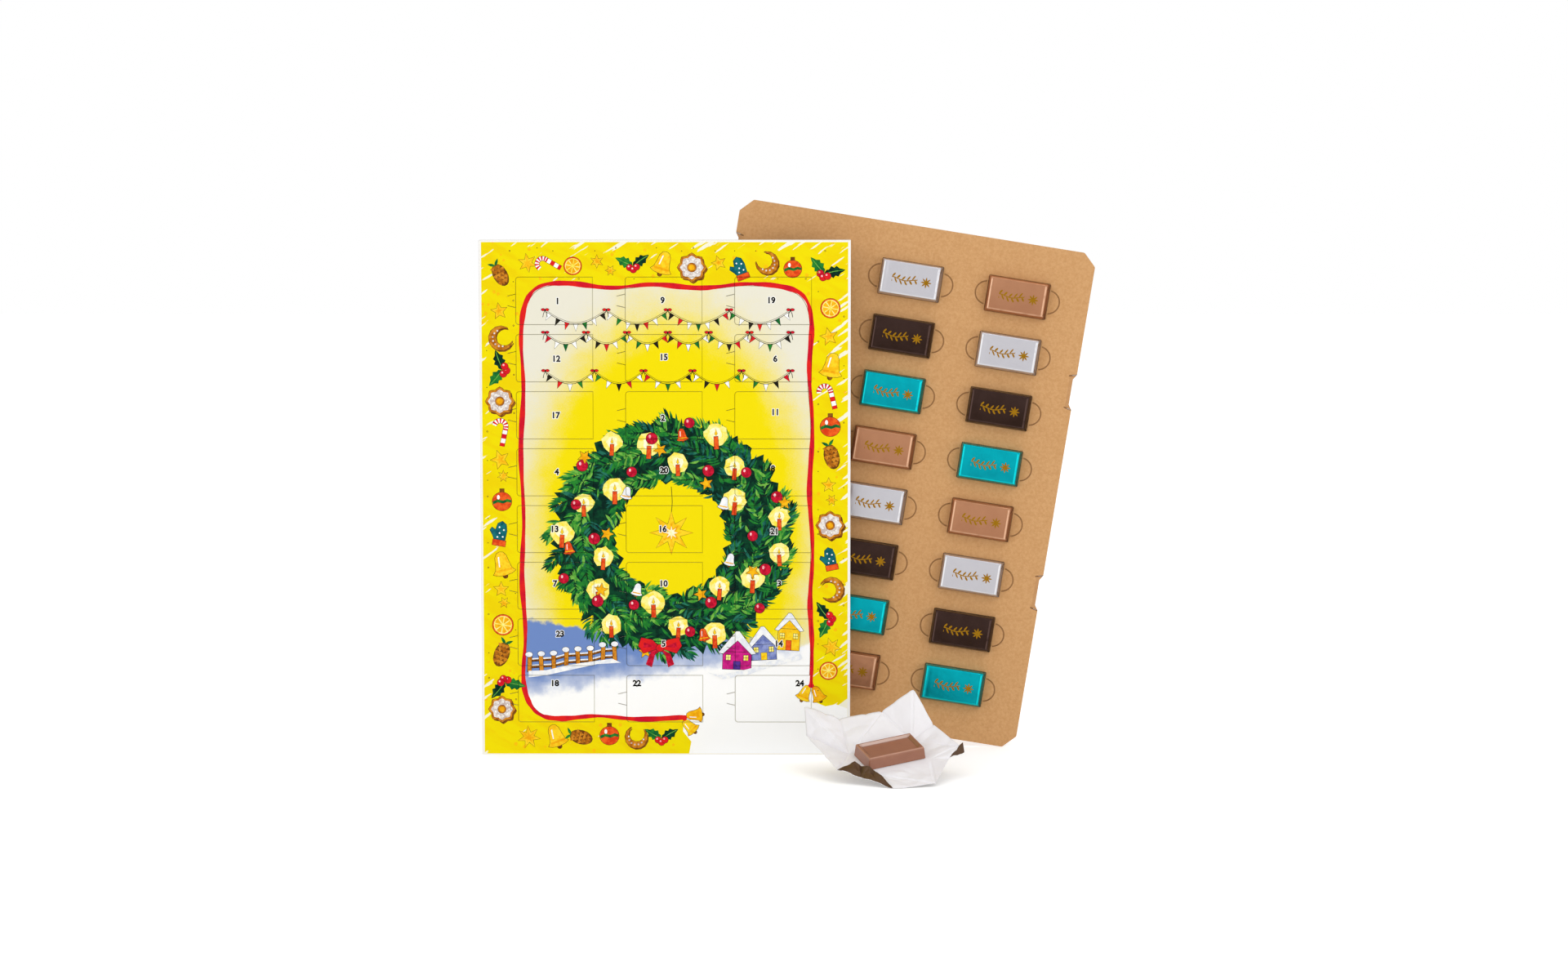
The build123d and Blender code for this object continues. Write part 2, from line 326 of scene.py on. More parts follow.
def make_ink(name, light, dark, patch):
    """A printed colour that runs between two tones as brushed paint does."""
    nodes = Material("print_" + name)
    wash = nodes.noise(patch, detail=4.0, rough=0.6).step(0.38, 0.62)
    return finish_print(nodes, with_lines(nodes, nodes.mix(wash, light, dark)), 0.5)


def make_yellow_ground():
    """Brushed yellow with strokes that miss the card near its edges, and amber spots."""
    nodes = Material("printed_card")
    x, y, z = nodes.axes
    wash = nodes.noise(9.0, detail=4.0, stretch=(2.5, 1.0, 0.7), turn=0.5).step(0.4, 0.65)
    spot = nodes.cells(8.0).step(0.17, 0.14)
    some = nodes.noise(14.0).step(0.48, 0.51)
    edge = larger(x.step(0.104, 0.121) * 0.15, x.step(-0.108, -0.121) * 0.09,
                  z.step(0.328, 0.344) * 0.12)
    stroke = nodes.noise(3.4, detail=3.0, rough=0.45, stretch=(7.5, 1.0, 1.0), turn=-0.6)
    rim = larger(abs(x).step(0.12165, 0.12185), z.step(0.3437, 0.3439), z.step(0.0010, 0.0008))
    colour = nodes.laid(nodes.mix(wash, (240, 221, 0), (238, 210, 0)),
                        (spot * some * 0.85, (247, 190, 14)),
                        ((stroke + edge).step(0.70, 0.72), (244, 241, 218)),
                        (rim, (243, 241, 236)))
    # The print is on the front face only, with bare card on edges, insides and spines
    front = y.step((FRONT_Y + 0.10) * MM, (FRONT_Y + 0.04) * MM)
    return finish_print(nodes, nodes.mix(front, (238, 236, 230), with_lines(nodes, colour)))


def make_inner_ground():
    """Inside the frame line: cream, a yellow glow, and a white ground under a blue shadow."""
    nodes = Material("print_inner_ground")
    x, _, z = nodes.axes
    radius = (nodes.length((x - 0.004) / 0.087, (z - 0.152) / 0.134)
              + nodes.noise(0.8, detail=3.0) * 0.16 + nodes.noise(14.0) * 0.2)
    glow = nodes.mix(radius.step(1.52, 1.08), (233, 229, 211), (243, 222, 2))
    height = z + (nodes.noise(9.0, detail=4.0) - 0.5) * 0.016
    snow = (height + x * 0.09).step(0.0835, 0.0805)
    low = height - x * 0.164
    shade = low.step(0.0515, 0.0595) * x.step(0.096, 0.082)
    pool = nodes.noise(12.0, detail=4.0, stretch=(2.0, 1.0, 0.8), turn=-0.15)
    deep = (low + pool * 0.012).step(0.060, 0.078)
    shadow = nodes.mix(deep, (203, 211, 230), (110, 138, 196))
    colour = nodes.mix(snow, glow, nodes.mix(shade, (253, 253, 252), shadow))
    return finish_print(nodes, with_lines(nodes, colour))


# Each ink's material, its light and dark tone, and the size of its brushed patches
INK_TONES = {
    "line": ("line_black", (22, 20, 16), (38, 34, 24), 5.0),
    "halo": ("number_halo", (255, 255, 253), (247, 247, 243), 5.0),
    "red": ("red", (226, 34, 30), (205, 16, 42), 9.0),
    "berry": ("crimson", (214, 26, 56), (170, 10, 40), 2.4),
    "blush": ("highlight", (250, 214, 214), (244, 150, 160), 2.0),
    "orange": ("orange", (240, 98, 34), (214, 60, 22), 3.0),
    "amber": ("amber", (250, 190, 24), (236, 160, 8), 3.0),
    "gold": ("gold", (252, 214, 40), (245, 186, 16), 3.0),
    "biscuit": ("biscuit", (214, 140, 40), (170, 96, 18), 3.0),
    "brown": ("brown", (150, 92, 26), (104, 58, 14), 2.5),
    "icing": ("icing", (238, 232, 226), (196, 178, 172), 1.6),
    "dark_green": ("dark_green", (8, 66, 40), (2, 34, 28), 4.0),
    "green": ("green", (40, 132, 46), (12, 92, 46), 4.0),
    "light_green": ("light_green", (122, 184, 74), (66, 150, 50), 3.0),
    "blue_green": ("blue_green", (40, 116, 92), (12, 76, 70), 4.0),
    "glow": ("glow", (254, 244, 150), (252, 228, 70), 3.0),
    "pale": ("pale_glow", (255, 252, 224), (253, 244, 176), 2.5),
    "magenta": ("magenta", (216, 40, 140), (180, 22, 116), 4.0),
    "lilac": ("lilac", (146, 158, 210), (98, 112, 176), 4.0),
    "violet": ("violet", (86, 52, 150), (60, 34, 120), 4.0),
    "teal": ("teal", (24, 112, 118), (10, 82, 96), 3.0),
    "white": ("white", (250, 250, 248), (228, 232, 240), 4.0),
}
INKS = {name: make_ink(*tones) for name, tones in INK_TONES.items()}
INKS["inner"] = make_inner_ground()


# Other materials

def make_white_card():
    """Unprinted card: white, faintly fibrous."""
    nodes = Material("white_card")
    colour = nodes.mix(nodes.noise(1.6, detail=5.0, rough=0.7), (240, 237, 229), (232, 229, 220))
    colour = nodes.mix(nodes.noise(30.0) * 0.4, colour, (245, 243, 238))
    tooth = nodes.noise(0.5, detail=4.0, rough=0.65)
    return nodes.finish(colour, 0.62, tooth, 0.03, specular=0.35)


def tray_axes(nodes):
    """Places on the tray in millimetres from its middle: along it and up it, in its own turn."""
    x, _, z = nodes.axes
    right = x / MM - TRAY_MIDDLE[0]
    up = z / MM - TRAY_MIDDLE[1]
    c = math.cos(TRAY_TURN)
    s = math.sin(TRAY_TURN)
    return right * c - up * s, right * s + up * c


def notch_marks(nodes):
    """Masks for painted shade: 1 on the slits that end the tray's notches, and 1 on the stretches
    pressed in between.
    """
    along, above = tray_axes(nodes)
    up = above - ((along < 0.0) * (NOTCH_LOW[0] - NOTCH_LOW[1]) + NOTCH_LOW[1])
    which = nodes.math("ROUND", up / NOTCH_SPACING).clamped(0.0, 1.0)
    off = abs(up - which * NOTCH_SPACING)
    inset = TRAY_WIDTH / 2 - abs(along)
    slit = NOTCH_LENGTH / 2 - inset * NOTCH_SLIT_SLOPE
    line = abs(off - slit).step(0.7, 0.2) * inset.step(NOTCH_SLIT + 0.6, NOTCH_SLIT)
    pressed = (off.step(NOTCH_LENGTH / 2, NOTCH_LENGTH / 2 - 1.0)
               * inset.step(NOTCH_SLIT, NOTCH_SLIT - 0.9))
    return line, pressed


def make_thumb_lines():
    """A node group for painted shade: 1 on the half moon cuts beside the tray's windows, and 1 on the
    tabs inside, which are pushed in.
    """
    nodes = Group("thumb_shade")
    along, above = tray_axes(nodes)
    dx, dz = from_nearest(along / COLUMN_PITCH, above / ROW_PITCH)
    out = abs(dx) - BAR_LENGTH / 2
    ring = nodes.length(out, dz) - THUMB_RADIUS
    beside = out > 1.0
    return nodes.finish(Line=abs(ring).step(0.75, 0.15) * beside,
                        Tab=ring.step(0.1, -0.3) * beside * out.step(9.0, 2.0))


def make_kraft():
    """Uncoated kraft board: mottled, with short fibres, and with painted shade in its cuts and on the
    tabs and stretches pressed in.
    """
    nodes = Material("kraft_board")
    mottle = nodes.noise(1.7, detail=6.0, rough=0.62).step(0.3, 0.7)
    dark = nodes.noise(1.1, stretch=(5.0, 5.0, 0.8), turn=0.35).step(0.64, 0.72)
    pale = nodes.noise(0.9, stretch=(0.8, 5.0, 4.0), turn=-0.6).step(0.66, 0.74)
    line, tab = nodes.run("ShaderNodeGroup", node_tree=make_thumb_lines())
    slit, pressed = notch_marks(nodes)
    # Only the window card is cut; the backing stays plain
    _, y, _ = nodes.axes
    front = y.step(TRAY_CARD_BACK * MM, (TRAY_CARD_BACK - 0.1) * MM)
    colour = nodes.laid(nodes.mix(mottle, (198, 148, 96), (211, 163, 112)),
                        (nodes.noise(45.0) * 0.35, (201, 152, 101)),
                        (dark * 0.22, (160, 114, 70)),
                        (pale * 0.3, (226, 186, 140)),
                        # Painted shade: on the pushed-in tabs, in the half moon cuts, on the
                        # pressed-in stretches and in the slits
                        (tab * front * 0.3, (184, 134, 84)),
                        (line * front * 0.75, (128, 86, 50)),
                        (pressed * front * 0.45, (178, 130, 88)),
                        (slit * front * 0.8, (104, 68, 40)))
    return nodes.finish(colour, 0.78, nodes.noise(0.7, detail=5.0, rough=0.7), 0.05, specular=0.2)


def bare_bar_axes(nodes):
    """Places on the bare bar in millimetres: along it, across it, and above its seat."""
    place = nodes.place
    no_axis = (0.0, 0.0, 1.0)
    for kind, angle in (("X_AXIS", WRAPPER_TILT), ("Z_AXIS", WRAPPER_TURN)):
        place, = nodes.run("ShaderNodeVectorRotate", place, Vector(WRAPPER_PLACE) * MM, no_axis,
                           -angle, rotation_type=kind)
    return [nodes.math("MULTIPLY_ADD", value, 1 / MM, -middle)
            for value, middle in zip(nodes.split(place), WRAPPER_PLACE)]


def with_rim(nodes, colour):
    """Painted highlights and painted shade along the rim and the sunk panel on top of the bare bar.
    """
    u, v, height = bare_bar_axes(nodes)
    top = height.step(PANEL_LEVEL - 0.4, PANEL_LEVEL - 0.2)
    beyond = larger(abs(u) - PANEL_EDGE[0], abs(v) - PANEL_EDGE[1])
    slope = beyond.step(0.1, -0.1) * top
    right, far = (value.step(edge - PANEL_SLOPE - 0.1, edge - PANEL_SLOPE + 0.3) * slope
                  for value, edge in zip((u, v), PANEL_EDGE))
    foot = abs(beyond + PANEL_SLOPE).step(0.4, 0.1) * top
    edge = abs(beyond - 1.1).step(0.5, 0.1) * top
    # Painted shade on the right slope and at the panel's foot; painted highlight on the far slope and
    # along the rim's edge
    return nodes.laid(colour,
                      (right * 0.5, (126, 82, 60)),
                      (far * 0.7, (206, 176, 162)),
                      (foot * 0.55, (118, 74, 50)),
                      (edge * 0.55, (190, 140, 114)))


def make_chocolate():
    """Milk chocolate with a soft sheen."""
    nodes = Material("milk_chocolate")
    cloud = nodes.noise(7.0, detail=3.0)
    # Painted highlights and painted shade along the rim and the sunk panel
    colour = with_rim(nodes, nodes.mix(cloud, (142, 89, 65), (158, 103, 77)))
    nodes.surface["Coat Weight"].default_value = 0.4
    nodes.surface["Coat Roughness"].default_value = 0.2
    return nodes.finish(colour, cloud * 0.14 + 0.3, nodes.noise(1.4, detail=3.0, rough=0.6), 0.03)


def make_wrapper_side(name, light, dark, cloud, rough, **shine):
    """One side of the opened wrapper, finely creased."""
    nodes = Material(name)
    colour = nodes.mix(nodes.noise(cloud, detail=3.0), light, dark)
    return nodes.finish(colour, rough, nodes.noise(2.6, detail=5.0, rough=0.6), 0.10, **shine)


def bar_ornament(nodes, u, v):
    """1 on the gold ornament printed on a bar: a leafy sprig, and a star at its right."""
    span = abs(u + 4.4) < 8.6
    off = v - nodes.math("SINE", u * 0.36) * 0.8
    stem = abs(off).step(0.42, 0.26)
    # Leaves stand on both sides of the stem in turn, and lean to the right
    shifted = u + 10 * LEAF_PITCH + (off < 0.0) * (LEAF_PITCH / 2)
    along = shifted % LEAF_PITCH - LEAF_PITCH / 2
    rise = abs(off) - 1.6
    leaf = nodes.length(along * 0.34 + rise * 0.46, along * 1.35 - rise * 0.95).step(1.05, 0.85)
    star_u = u - 10.2
    ray = nodes.math("PINGPONG", nodes.math("ARCTAN2", v, star_u) / (math.tau / 8), 0.5)
    star = (nodes.length(star_u, v) - (3.7 - ray * 4.9)).step(0.08, -0.08)
    return larger(larger(stem, leaf) * span, star)


def fold_slits(nodes, u, v):
    """1 in the slits at the two corners of a bar's right end, where the foil folds in: a mask for
    painted shade.
    """
    down = abs(v) - 9.7
    past = larger(abs(down) - 1.7, 0.0)
    return nodes.length(u - 19.7 - down * 0.3, past).step(0.55, 0.2)


def pressed_edges(nodes, u, v):
    """1 on the raised folds at both ends of a bar, less on its low side: where a painted highlight
    goes.
    """
    ends = larger(abs(u + 19.1).step(0.7, 0.2), abs(u - 17.5).step(0.7, 0.2))
    low = abs(v + 10.0).step(0.9, 0.2) * abs(u).step(19.6, 18.4)
    both = larger(ends * abs(v).step(10.8, 9.6), low * 0.5)
    return both * nodes.noise(4.0).step(0.1, 0.5)


def make_foil(name, light, dark, shine, metallic, rough):
    """Thin foil pressed on a bar, with a small ornament in gold at its middle, painted shade towards
    its low side and over its right end, and painted highlights on its folds.
    """
    nodes = Material(name)
    plan, = nodes.run("ShaderNodeUVMap", uv_map="plan")
    # Millimetres from the bar's middle: to the right, and up
    u, v = ((value - 0.5) * BAR_PLAN for value in nodes.split(plan)[:2])
    # Painted shade: the foil darker towards its low side, mixed with random patches
    blend = nodes.noise(9.0, detail=3.0).step(0.3, 0.7) * 0.4 + v.step(9.0, -9.0) * 0.6
    # Painted shade over the outer part of the right end, where the foil folds under
    tucked_end_shade = u.step(18.1, 18.7) * 0.5
    colour = nodes.laid(nodes.mix(blend, light, dark),
                        # Painted highlight on the folds at both ends and along the low side
                        (pressed_edges(nodes, u, v), shine),
                        (bar_ornament(nodes, u, v),
                         nodes.mix(nodes.noise(1.5), (148, 102, 4), (176, 128, 16))),
                        # Painted shade in the corner slits and over the right end
                        (larger(fold_slits(nodes, u, v), tucked_end_shade) * 0.8, (36, 26, 20)))
    crumple = nodes.noise(6.0, detail=3.0, rough=0.55) + nodes.noise(1.2, detail=3.0) * 0.10
    return nodes.finish(colour, rough, crumple, 0.22, metallic)


# Each foil's light and dark tone, the painted highlight of its folds, how metallic and how rough it
# is
FOIL_LOOKS = {
    "foil_copper": ((190, 135, 100), (178, 123, 90), (244, 194, 158), 0.85, 0.34),
    "foil_silver": ((207, 205, 211), (204, 202, 208), (250, 249, 251), 0.85, 0.34),
    "foil_dark": ((62, 43, 38), (46, 28, 20), (92, 70, 64), 0.85, 0.30),
    "foil_teal": ((0, 180, 194), (0, 154, 168), (20, 236, 242), 0.92, 0.32),
}
MATERIALS = {
    "printed_card": make_yellow_ground(),
    "white_card": make_white_card(),
    "kraft_board": make_kraft(),
    "milk_chocolate": make_chocolate(),
    "wrapper_paper": make_wrapper_side("wrapper_paper", (241, 239, 241), (231, 228, 231), 16.0,
                                       0.5, specular=0.4),
    "wrapper_foil": make_wrapper_side("wrapper_foil", (100, 72, 47), (78, 53, 33), 12.0,
                                      0.42, metallic=0.45),
    **{name: make_foil(name, *looks) for name, looks in FOIL_LOOKS.items()},
}


def dress_nodes():
    """Give every CAD node the material of its slot."""
    for row in frame["record"]["subparts"]:
        mesh = frame["nodes"][row["node"]].data
        mesh.materials.clear()
        mesh.materials.append(MATERIALS[row["material_slot"]])


# Objects

def new_mesh(name, vertices, faces, *materials):
    mesh = bpy.data.meshes.new(name)
    mesh.from_pydata(vertices, [], faces)
    for material in materials:
        mesh.materials.append(material)
    return mesh


def new_object(name, data):
    thing = bpy.data.objects.new(name, data)
    bpy.context.scene.collection.objects.link(thing)
    return thing


# Drawing of the print: shapes in order from the card outwards, each an ink and its flat parts

shapes = []


def draw(ink, *outlines):
    """Add one shape, made of one or more outlines of (x, z) points."""
    shapes.append((ink, [list(outline) for outline in outlines]))


def turned(points, x, z, angle, scale=1.0):
    """Points turned by an angle in degrees, scaled, and moved to (x, z)."""
    c = math.cos(math.radians(angle)) * scale
    s = math.sin(math.radians(angle)) * scale
    return [(x + c * u - s * v, z + s * u + c * v) for u, v in points]


def brought_to(x, z, angle, scale=1.0):
    """A function that brings a motif's points to its place, turn and size."""
    return lambda points: turned(points, x, z, angle, scale)


def on_circle(radius, angle, x=0.0, z=0.0):
    """The point at an angle in radians on a circle about (x, z)."""
    return x + radius * math.cos(angle), z + radius * math.sin(angle)


def ellipse(rx, rz, count=18, x=0.0, z=0.0):
    """The corners of a round outline, counter-clockwise."""
    return [(x + rx * math.cos(math.tau * k / count), z + rz * math.sin(math.tau * k / count))
            for k in range(count)]


def circle(radius, count, x=0.0, z=0.0):
    return ellipse(radius, radius, count, x, z)


def upright(half, low, high):
    """A rectangle about the upright axis."""
    return [(-half, low), (half, low), (half, high), (-half, high)]


def star_points(outer, inner, count=5):
    """A star about the origin, one of its points straight up."""
    return [on_circle(inner if k % 2 else outer, math.pi / 2 + math.pi * k / count)
            for k in range(2 * count)]


def leaf_points(length, width, bend=0.0):
    """A pointed stroke from the origin along +X, its middle bent sideways."""
    def edge(k, side):
        share = k / 5
        half = width / 2 * math.sin(math.pi * share ** 0.8)
        return length * share, bend * math.sin(math.pi * share) + side * half
    return [(0.0, 0.0), *(edge(k, -1) for k in range(1, 5)), (length, 0.0),
            *(edge(k, 1) for k in range(4, 0, -1))]


def swollen(points, reach):
    """The outline pushed outwards by about reach, for the dark line round a motif."""
    grown = []
    for k, (x, z) in enumerate(points):
        next_x, next_z = points[(k + 1) % len(points)]
        before = Vector((x - points[k - 1][0], z - points[k - 1][1]))
        after = Vector((next_x - x, next_z - z))
        if before.length < 1e-6 or after.length < 1e-6:
            continue
        normal = Vector((before.y, -before.x)).normalized() + Vector((after.y, -after.x)).normalized()
        size = max(normal.length_squared / 2, 0.35)
        grown.append((x + normal.x * reach / size, z + normal.y * reach / size))
    return grown


def outlined(ink, points, line=0.28):
    """A shape with the thin dark line that a brush pen leaves round it."""
    draw("line", swollen(points, line))
    draw(ink, points)


def strip(points, widths):
    """The quads of a line through the points, with a width at each of them."""
    left = []
    right = []
    for k, (x, z) in enumerate(points):
        ahead = points[min(k + 1, len(points) - 1)]
        behind = points[max(k - 1, 0)]
        run = Vector((ahead[0] - behind[0], ahead[1] - behind[1])).normalized()
        half = widths[k] / 2
        left.append((x - run.y * half, z + run.x * half))
        right.append((x + run.y * half, z - run.x * half))
    return [[right[k], right[k + 1], left[k + 1], left[k]] for k in range(len(points) - 1)]


def stroke(ink, points, width, ends=None):
    """A drawn line of even width, or thinning to the share ends at both of its ends."""
    last = len(points) - 1
    widths = [width] * len(points)
    if ends is not None:
        widths = [width * (ends + (1 - ends) * math.sin(math.pi * k / last))
                  for k in range(len(points))]
    draw(ink, *strip(points, widths))


def smooth_path(points, steps=8):
    """A curve through the points."""
    path = []
    for k in range(len(points) - 1):
        p0, p1, p2, p3 = (Vector(points[min(max(j, 0), len(points) - 1)])
                          for j in range(k - 1, k + 3))
        for step in range(steps):
            t = step / steps
            place = 0.5 * (2 * p1 + (p2 - p0) * t + (2 * p0 - 5 * p1 + 4 * p2 - p3) * t * t
                           + (3 * p1 - p0 - 3 * p2 + p3) * t ** 3)
            path.append((place.x, place.y))
    path.append(tuple(points[-1]))
    return path


# Motifs, each drawn at (x, z) with its own size and turn

def draw_star(x, z, size, turn=0.0, count=5, fill="gold", pointed=0.45):
    """A star with a smaller one on it."""
    at = brought_to(x, z, turn)
    outlined(fill, at(star_points(size, size * pointed, count)), 0.22)
    draw("amber", at(star_points(size * 0.5, size * 0.2, count)))


def draw_holly(x, z, size, turn=0.0):
    """Two spiky leaves and three berries."""
    for side, green in ((150, "green"), (30, "dark_green")):
        edge = []
        for k in range(9):
            share = k / 8
            half = size * (0.30 if k % 2 else 0.19) * math.sin(math.pi * min(share + 0.05, 1))
            edge.append((size * share, half))
        at = brought_to(x, z, turn + side)
        outlined(green, at(edge + [(u, -v) for u, v in edge[-2:0:-1]]), 0.22)
        stroke("light_green", at([(0.1 * size, 0), (0.5 * size, 0.02 * size), (0.9 * size, 0)]), 0.45)
    for angle in (200, 270, 340):
        bx, bz = turned([(0.19 * size, 0)], x, z, turn + angle)[0]
        outlined("red", circle(0.17 * size, 12, bx, bz), 0.2)
        draw("blush", circle(0.05 * size, 8, bx - 0.05 * size, bz + 0.06 * size))


def draw_bell(x, z, size, turn=0.0, fill="gold"):
    """A bell with its clapper, a dark mouth and a highlight."""
    at = brought_to(x, z, turn, size)
    outline = [(0.0, 0.5), (0.14, 0.46), (0.24, 0.30), (0.28, 0.02), (0.34, -0.22), (0.46, -0.36),
               (0.30, -0.44), (0.0, -0.48)]
    outlined("brown", at(circle(0.1, 10, 0.0, -0.5)), 0.2)
    outlined(fill, at(outline[::-1] + [(-u, v) for u, v in outline[1:-1]]), 0.24)
    draw("amber", at([(-0.34, -0.22), (-0.3, -0.31), (0.3, -0.31), (0.34, -0.22)]))
    draw("halo", at([(-0.17, -0.1), (-0.12, -0.1), (-0.06, 0.32), (-0.12, 0.3)]))


def draw_cane(x, z, size, turn=0.0):
    """A striped candy cane."""
    path = [(0.12, -0.5), (0.12, -0.2), (0.12, 0.12)]
    path += [on_circle(0.22, math.radians(angle), -0.1, 0.22) for angle in range(0, 181, 30)]
    path = smooth_path(turned(path, x, z, turn, size), 4)
    width = 0.17 * size
    stroke("line", path, width + 0.45)
    stroke("halo", path, width)
    draw("red", *[quad for k, quad in enumerate(strip(path, [width] * len(path))) if k % 4 < 2])


def draw_ring_biscuit(x, z, size, turn=0.0):
    """A round biscuit with a wavy edge, white icing and a hole."""
    at = brought_to(x, z, turn, size)
    edge = [on_circle(0.5 + 0.045 * math.cos(8 * angle), angle)
            for angle in (math.tau * k / 32 for k in range(32))]
    draw("brown", at([(u + 0.06, v - 0.07) for u, v in edge]))
    outlined("biscuit", at(edge), 0.2)
    draw("icing", at([(0.82 * u, 0.82 * v) for u, v in edge]))
    outlined("biscuit", at(circle(0.17, 14)), 0.2)
    draw("amber", at(circle(0.11, 12)))
    for k in range(9):
        draw("halo", at(circle(0.03, 6, *on_circle(0.29, math.tau * k / 9))))


def draw_moon_biscuit(x, z, size, turn=0.0):
    """A crescent biscuit dusted with sugar."""
    at = brought_to(x, z, turn, size)
    outer = [on_circle(0.5, math.radians(40 + 28 * k)) for k in range(11)]
    inner = [on_circle(0.36, math.radians(310 - 26 * k), 0.16) for k in range(11)]
    points = at(outer + inner)
    draw("brown", [(u + 0.05 * size, v - 0.06 * size) for u, v in points])
    outlined("biscuit", points, 0.22)
    for k in range(7):
        draw("icing", at(circle(0.04, 6, *on_circle(0.33, math.radians(95 + 28 * k)))))


def draw_bauble(x, z, size, turn=0.0):
    """A ball with a metal cap and a highlight."""
    at = brought_to(x, z, turn, size)
    outlined("brown", at(upright(0.1, 0.42, 0.6)), 0.2)
    outlined("orange", ellipse(0.46 * size, 0.44 * size, 20, x, z), 0.24)
    band = [(-0.42, -0.14), (-0.2, -0.04), (0.05, -0.1), (0.25, -0.02), (0.44, -0.06), (0.44, 0.06),
            (0.25, 0.12), (0.05, 0.04), (-0.2, 0.1), (-0.44, 0.0)]
    draw("green", at(band))
    draw("halo", ellipse(0.07 * size, 0.11 * size, 10, x - 0.17 * size, z + 0.2 * size))


def draw_cone(x, z, size, turn=0.0):
    """A pine cone of overlapping scales."""
    at = brought_to(x, z, turn, size)
    outlined("brown", at(ellipse(0.3, 0.5)), 0.24)
    for row in range(5):
        v = 0.34 - 0.17 * row
        half = 0.28 * math.sqrt(max(1 - (v / 0.52) ** 2, 0.1))
        for k in (-1, 0, 1):
            u = half * 0.62 * k + (0.04 if row % 2 else -0.04)
            scale = [(-0.11, 0.07), (0, -0.09), (0.11, 0.07), (0, 0.1)]
            draw("biscuit", at([(u + right, v + up) for right, up in scale]))
    for side in (-25, 25):
        draw("green", at(turned(leaf_points(0.34, 0.12), 0.0, 0.46, 90 + side * 2)))


def draw_mitten(x, z, size, turn=0.0):
    """A dotted mitten with a cuff."""
    at = brought_to(x, z, turn, size)
    hand = [(-0.2, -0.3), (0.2, -0.3), (0.22, 0.1), (0.16, 0.34), (0.0, 0.44), (-0.16, 0.34),
            (-0.21, 0.08), (-0.36, 0.16), (-0.42, 0.04), (-0.3, -0.12)]
    outlined("teal", at(hand), 0.24)
    outlined("orange", at(upright(0.25, -0.5, -0.28)), 0.2)
    for u, v in ((-0.08, 0.2), (0.1, 0.12), (-0.04, -0.02), (0.1, -0.14), (-0.1, -0.18)):
        draw("halo", at(circle(0.035, 6, u, v)))


def draw_slice(x, z, size, turn=0.0):
    """A dried orange slice."""
    outlined("orange", circle(0.46 * size, 20, x, z), 0.22)
    draw("glow", circle(0.40 * size, 18, x, z))
    for k in range(8):
        wedge = [(0.06, 0.0), (0.33, 0.11), (0.36, 0.0), (0.33, -0.11)]
        draw("amber", turned(wedge, x, z, turn + 45 * k + 12, size))


def draw_scatter(x, z, size):
    """A tiny ring or dot, as pen work between the motifs."""
    draw("line", circle(size, 8, x, z))
    if size > 0.45:
        draw("gold", circle(size * 0.55, 8, x, z))


# The layout of the print: the ground inside a wavy frame line, garlands, a wreath, a border

NUMBER_PLACES = {
    1: (-71.2, 304.5), 9: (-1.4, 305.1), 19: (70.7, 305.1),
    12: (-72.3, 266.2), 15: (-0.8, 267.3), 6: (73.4, 266.2),
    17: (-72.9, 228.5), 2: (-1.4, 226.8), 11: (73.4, 230.6),
    4: (-72.3, 190.7), 20: (-0.8, 191.8), 8: (71.8, 192.9),
    13: (-74.0, 152.4), 16: (-1.9, 152.4), 21: (72.9, 150.8),
    7: (-74.0, 115.7), 10: (-1.4, 115.7), 3: (76.1, 115.7),
    23: (-70.7, 81.8), 5: (-1.4, 75.2), 14: (75.6, 75.2),
    18: (-74.5, 48.4), 22: (-19.4, 48.4), 24: (89.8, 48.4),
}
# From the open corner at the lower right, along the bottom, round and back to it
FRAME_LINE = smooth_path([
    (12, 25.5), (-18, 24.2), (-46, 26.4), (-70, 24.6), (-84, 27.0), (-92, 36), (-95.5, 52),
    (-94, 84), (-96, 120), (-94.6, 160), (-96.2, 205), (-94.2, 246), (-95.6, 280), (-92.5, 303),
    (-83, 314.5), (-64, 316.5), (-36, 313.6), (-8, 315.8), (24, 313.4), (54, 316.2), (80, 313.8),
    (93, 307), (97.6, 290), (96.0, 258), (98.2, 220), (96.2, 178), (98.4, 138), (96.6, 104),
    (98.0, 74), (97.4, 48),
], 7)
# The white corner that runs out to the card's edge
OPEN_CORNER = [(99.5, 36.0), (107.0, 33.0), (114.0, 34.4), (121.7, 31.5), (121.7, 0.95),
               (15.5, 0.95), (17.0, 9.0), (11.5, 16.0)]
GARLAND_LEFT = -79.5
GARLAND_SPAN = 163.0
PENNANT_SPACING = 6.0
WREATH = (4.0, 147.0)
WREATH_RADIUS = 57.0
FIGURE_SIZE = 5.6
STAR_SCALE = 1.15
MOTIF_SCALE = 1.18


def draw_frame_line():
    """A red ribbon with a thin line inside it, and a pair of bells at both of its ends."""
    inner = [(x * 0.988 - 0.1, 170 + (z - 170) * 0.993 - 0.3) for x, z in FRAME_LINE]
    stroke("brown", inner[2:-2], 0.35)
    widths = [2.9 + 0.7 * math.sin(0.37 * k) + 0.35 * math.sin(1.3 * k)
              for k in range(len(FRAME_LINE))]
    draw("red", *strip(FRAME_LINE, widths))
    for x, z, turn in ((12.5, 25.0, 70), (97.4, 47.0, 0)):
        for place, lean, fill in (((-4.2, -5.0), -25, "gold"), ((4.2, -5.6), 25, "amber")):
            draw_bell(*turned([place], x, z, turn)[0], 11, turn + lean, fill)
        draw("red", turned(ellipse(2.0, 1.6), x, z, turn))


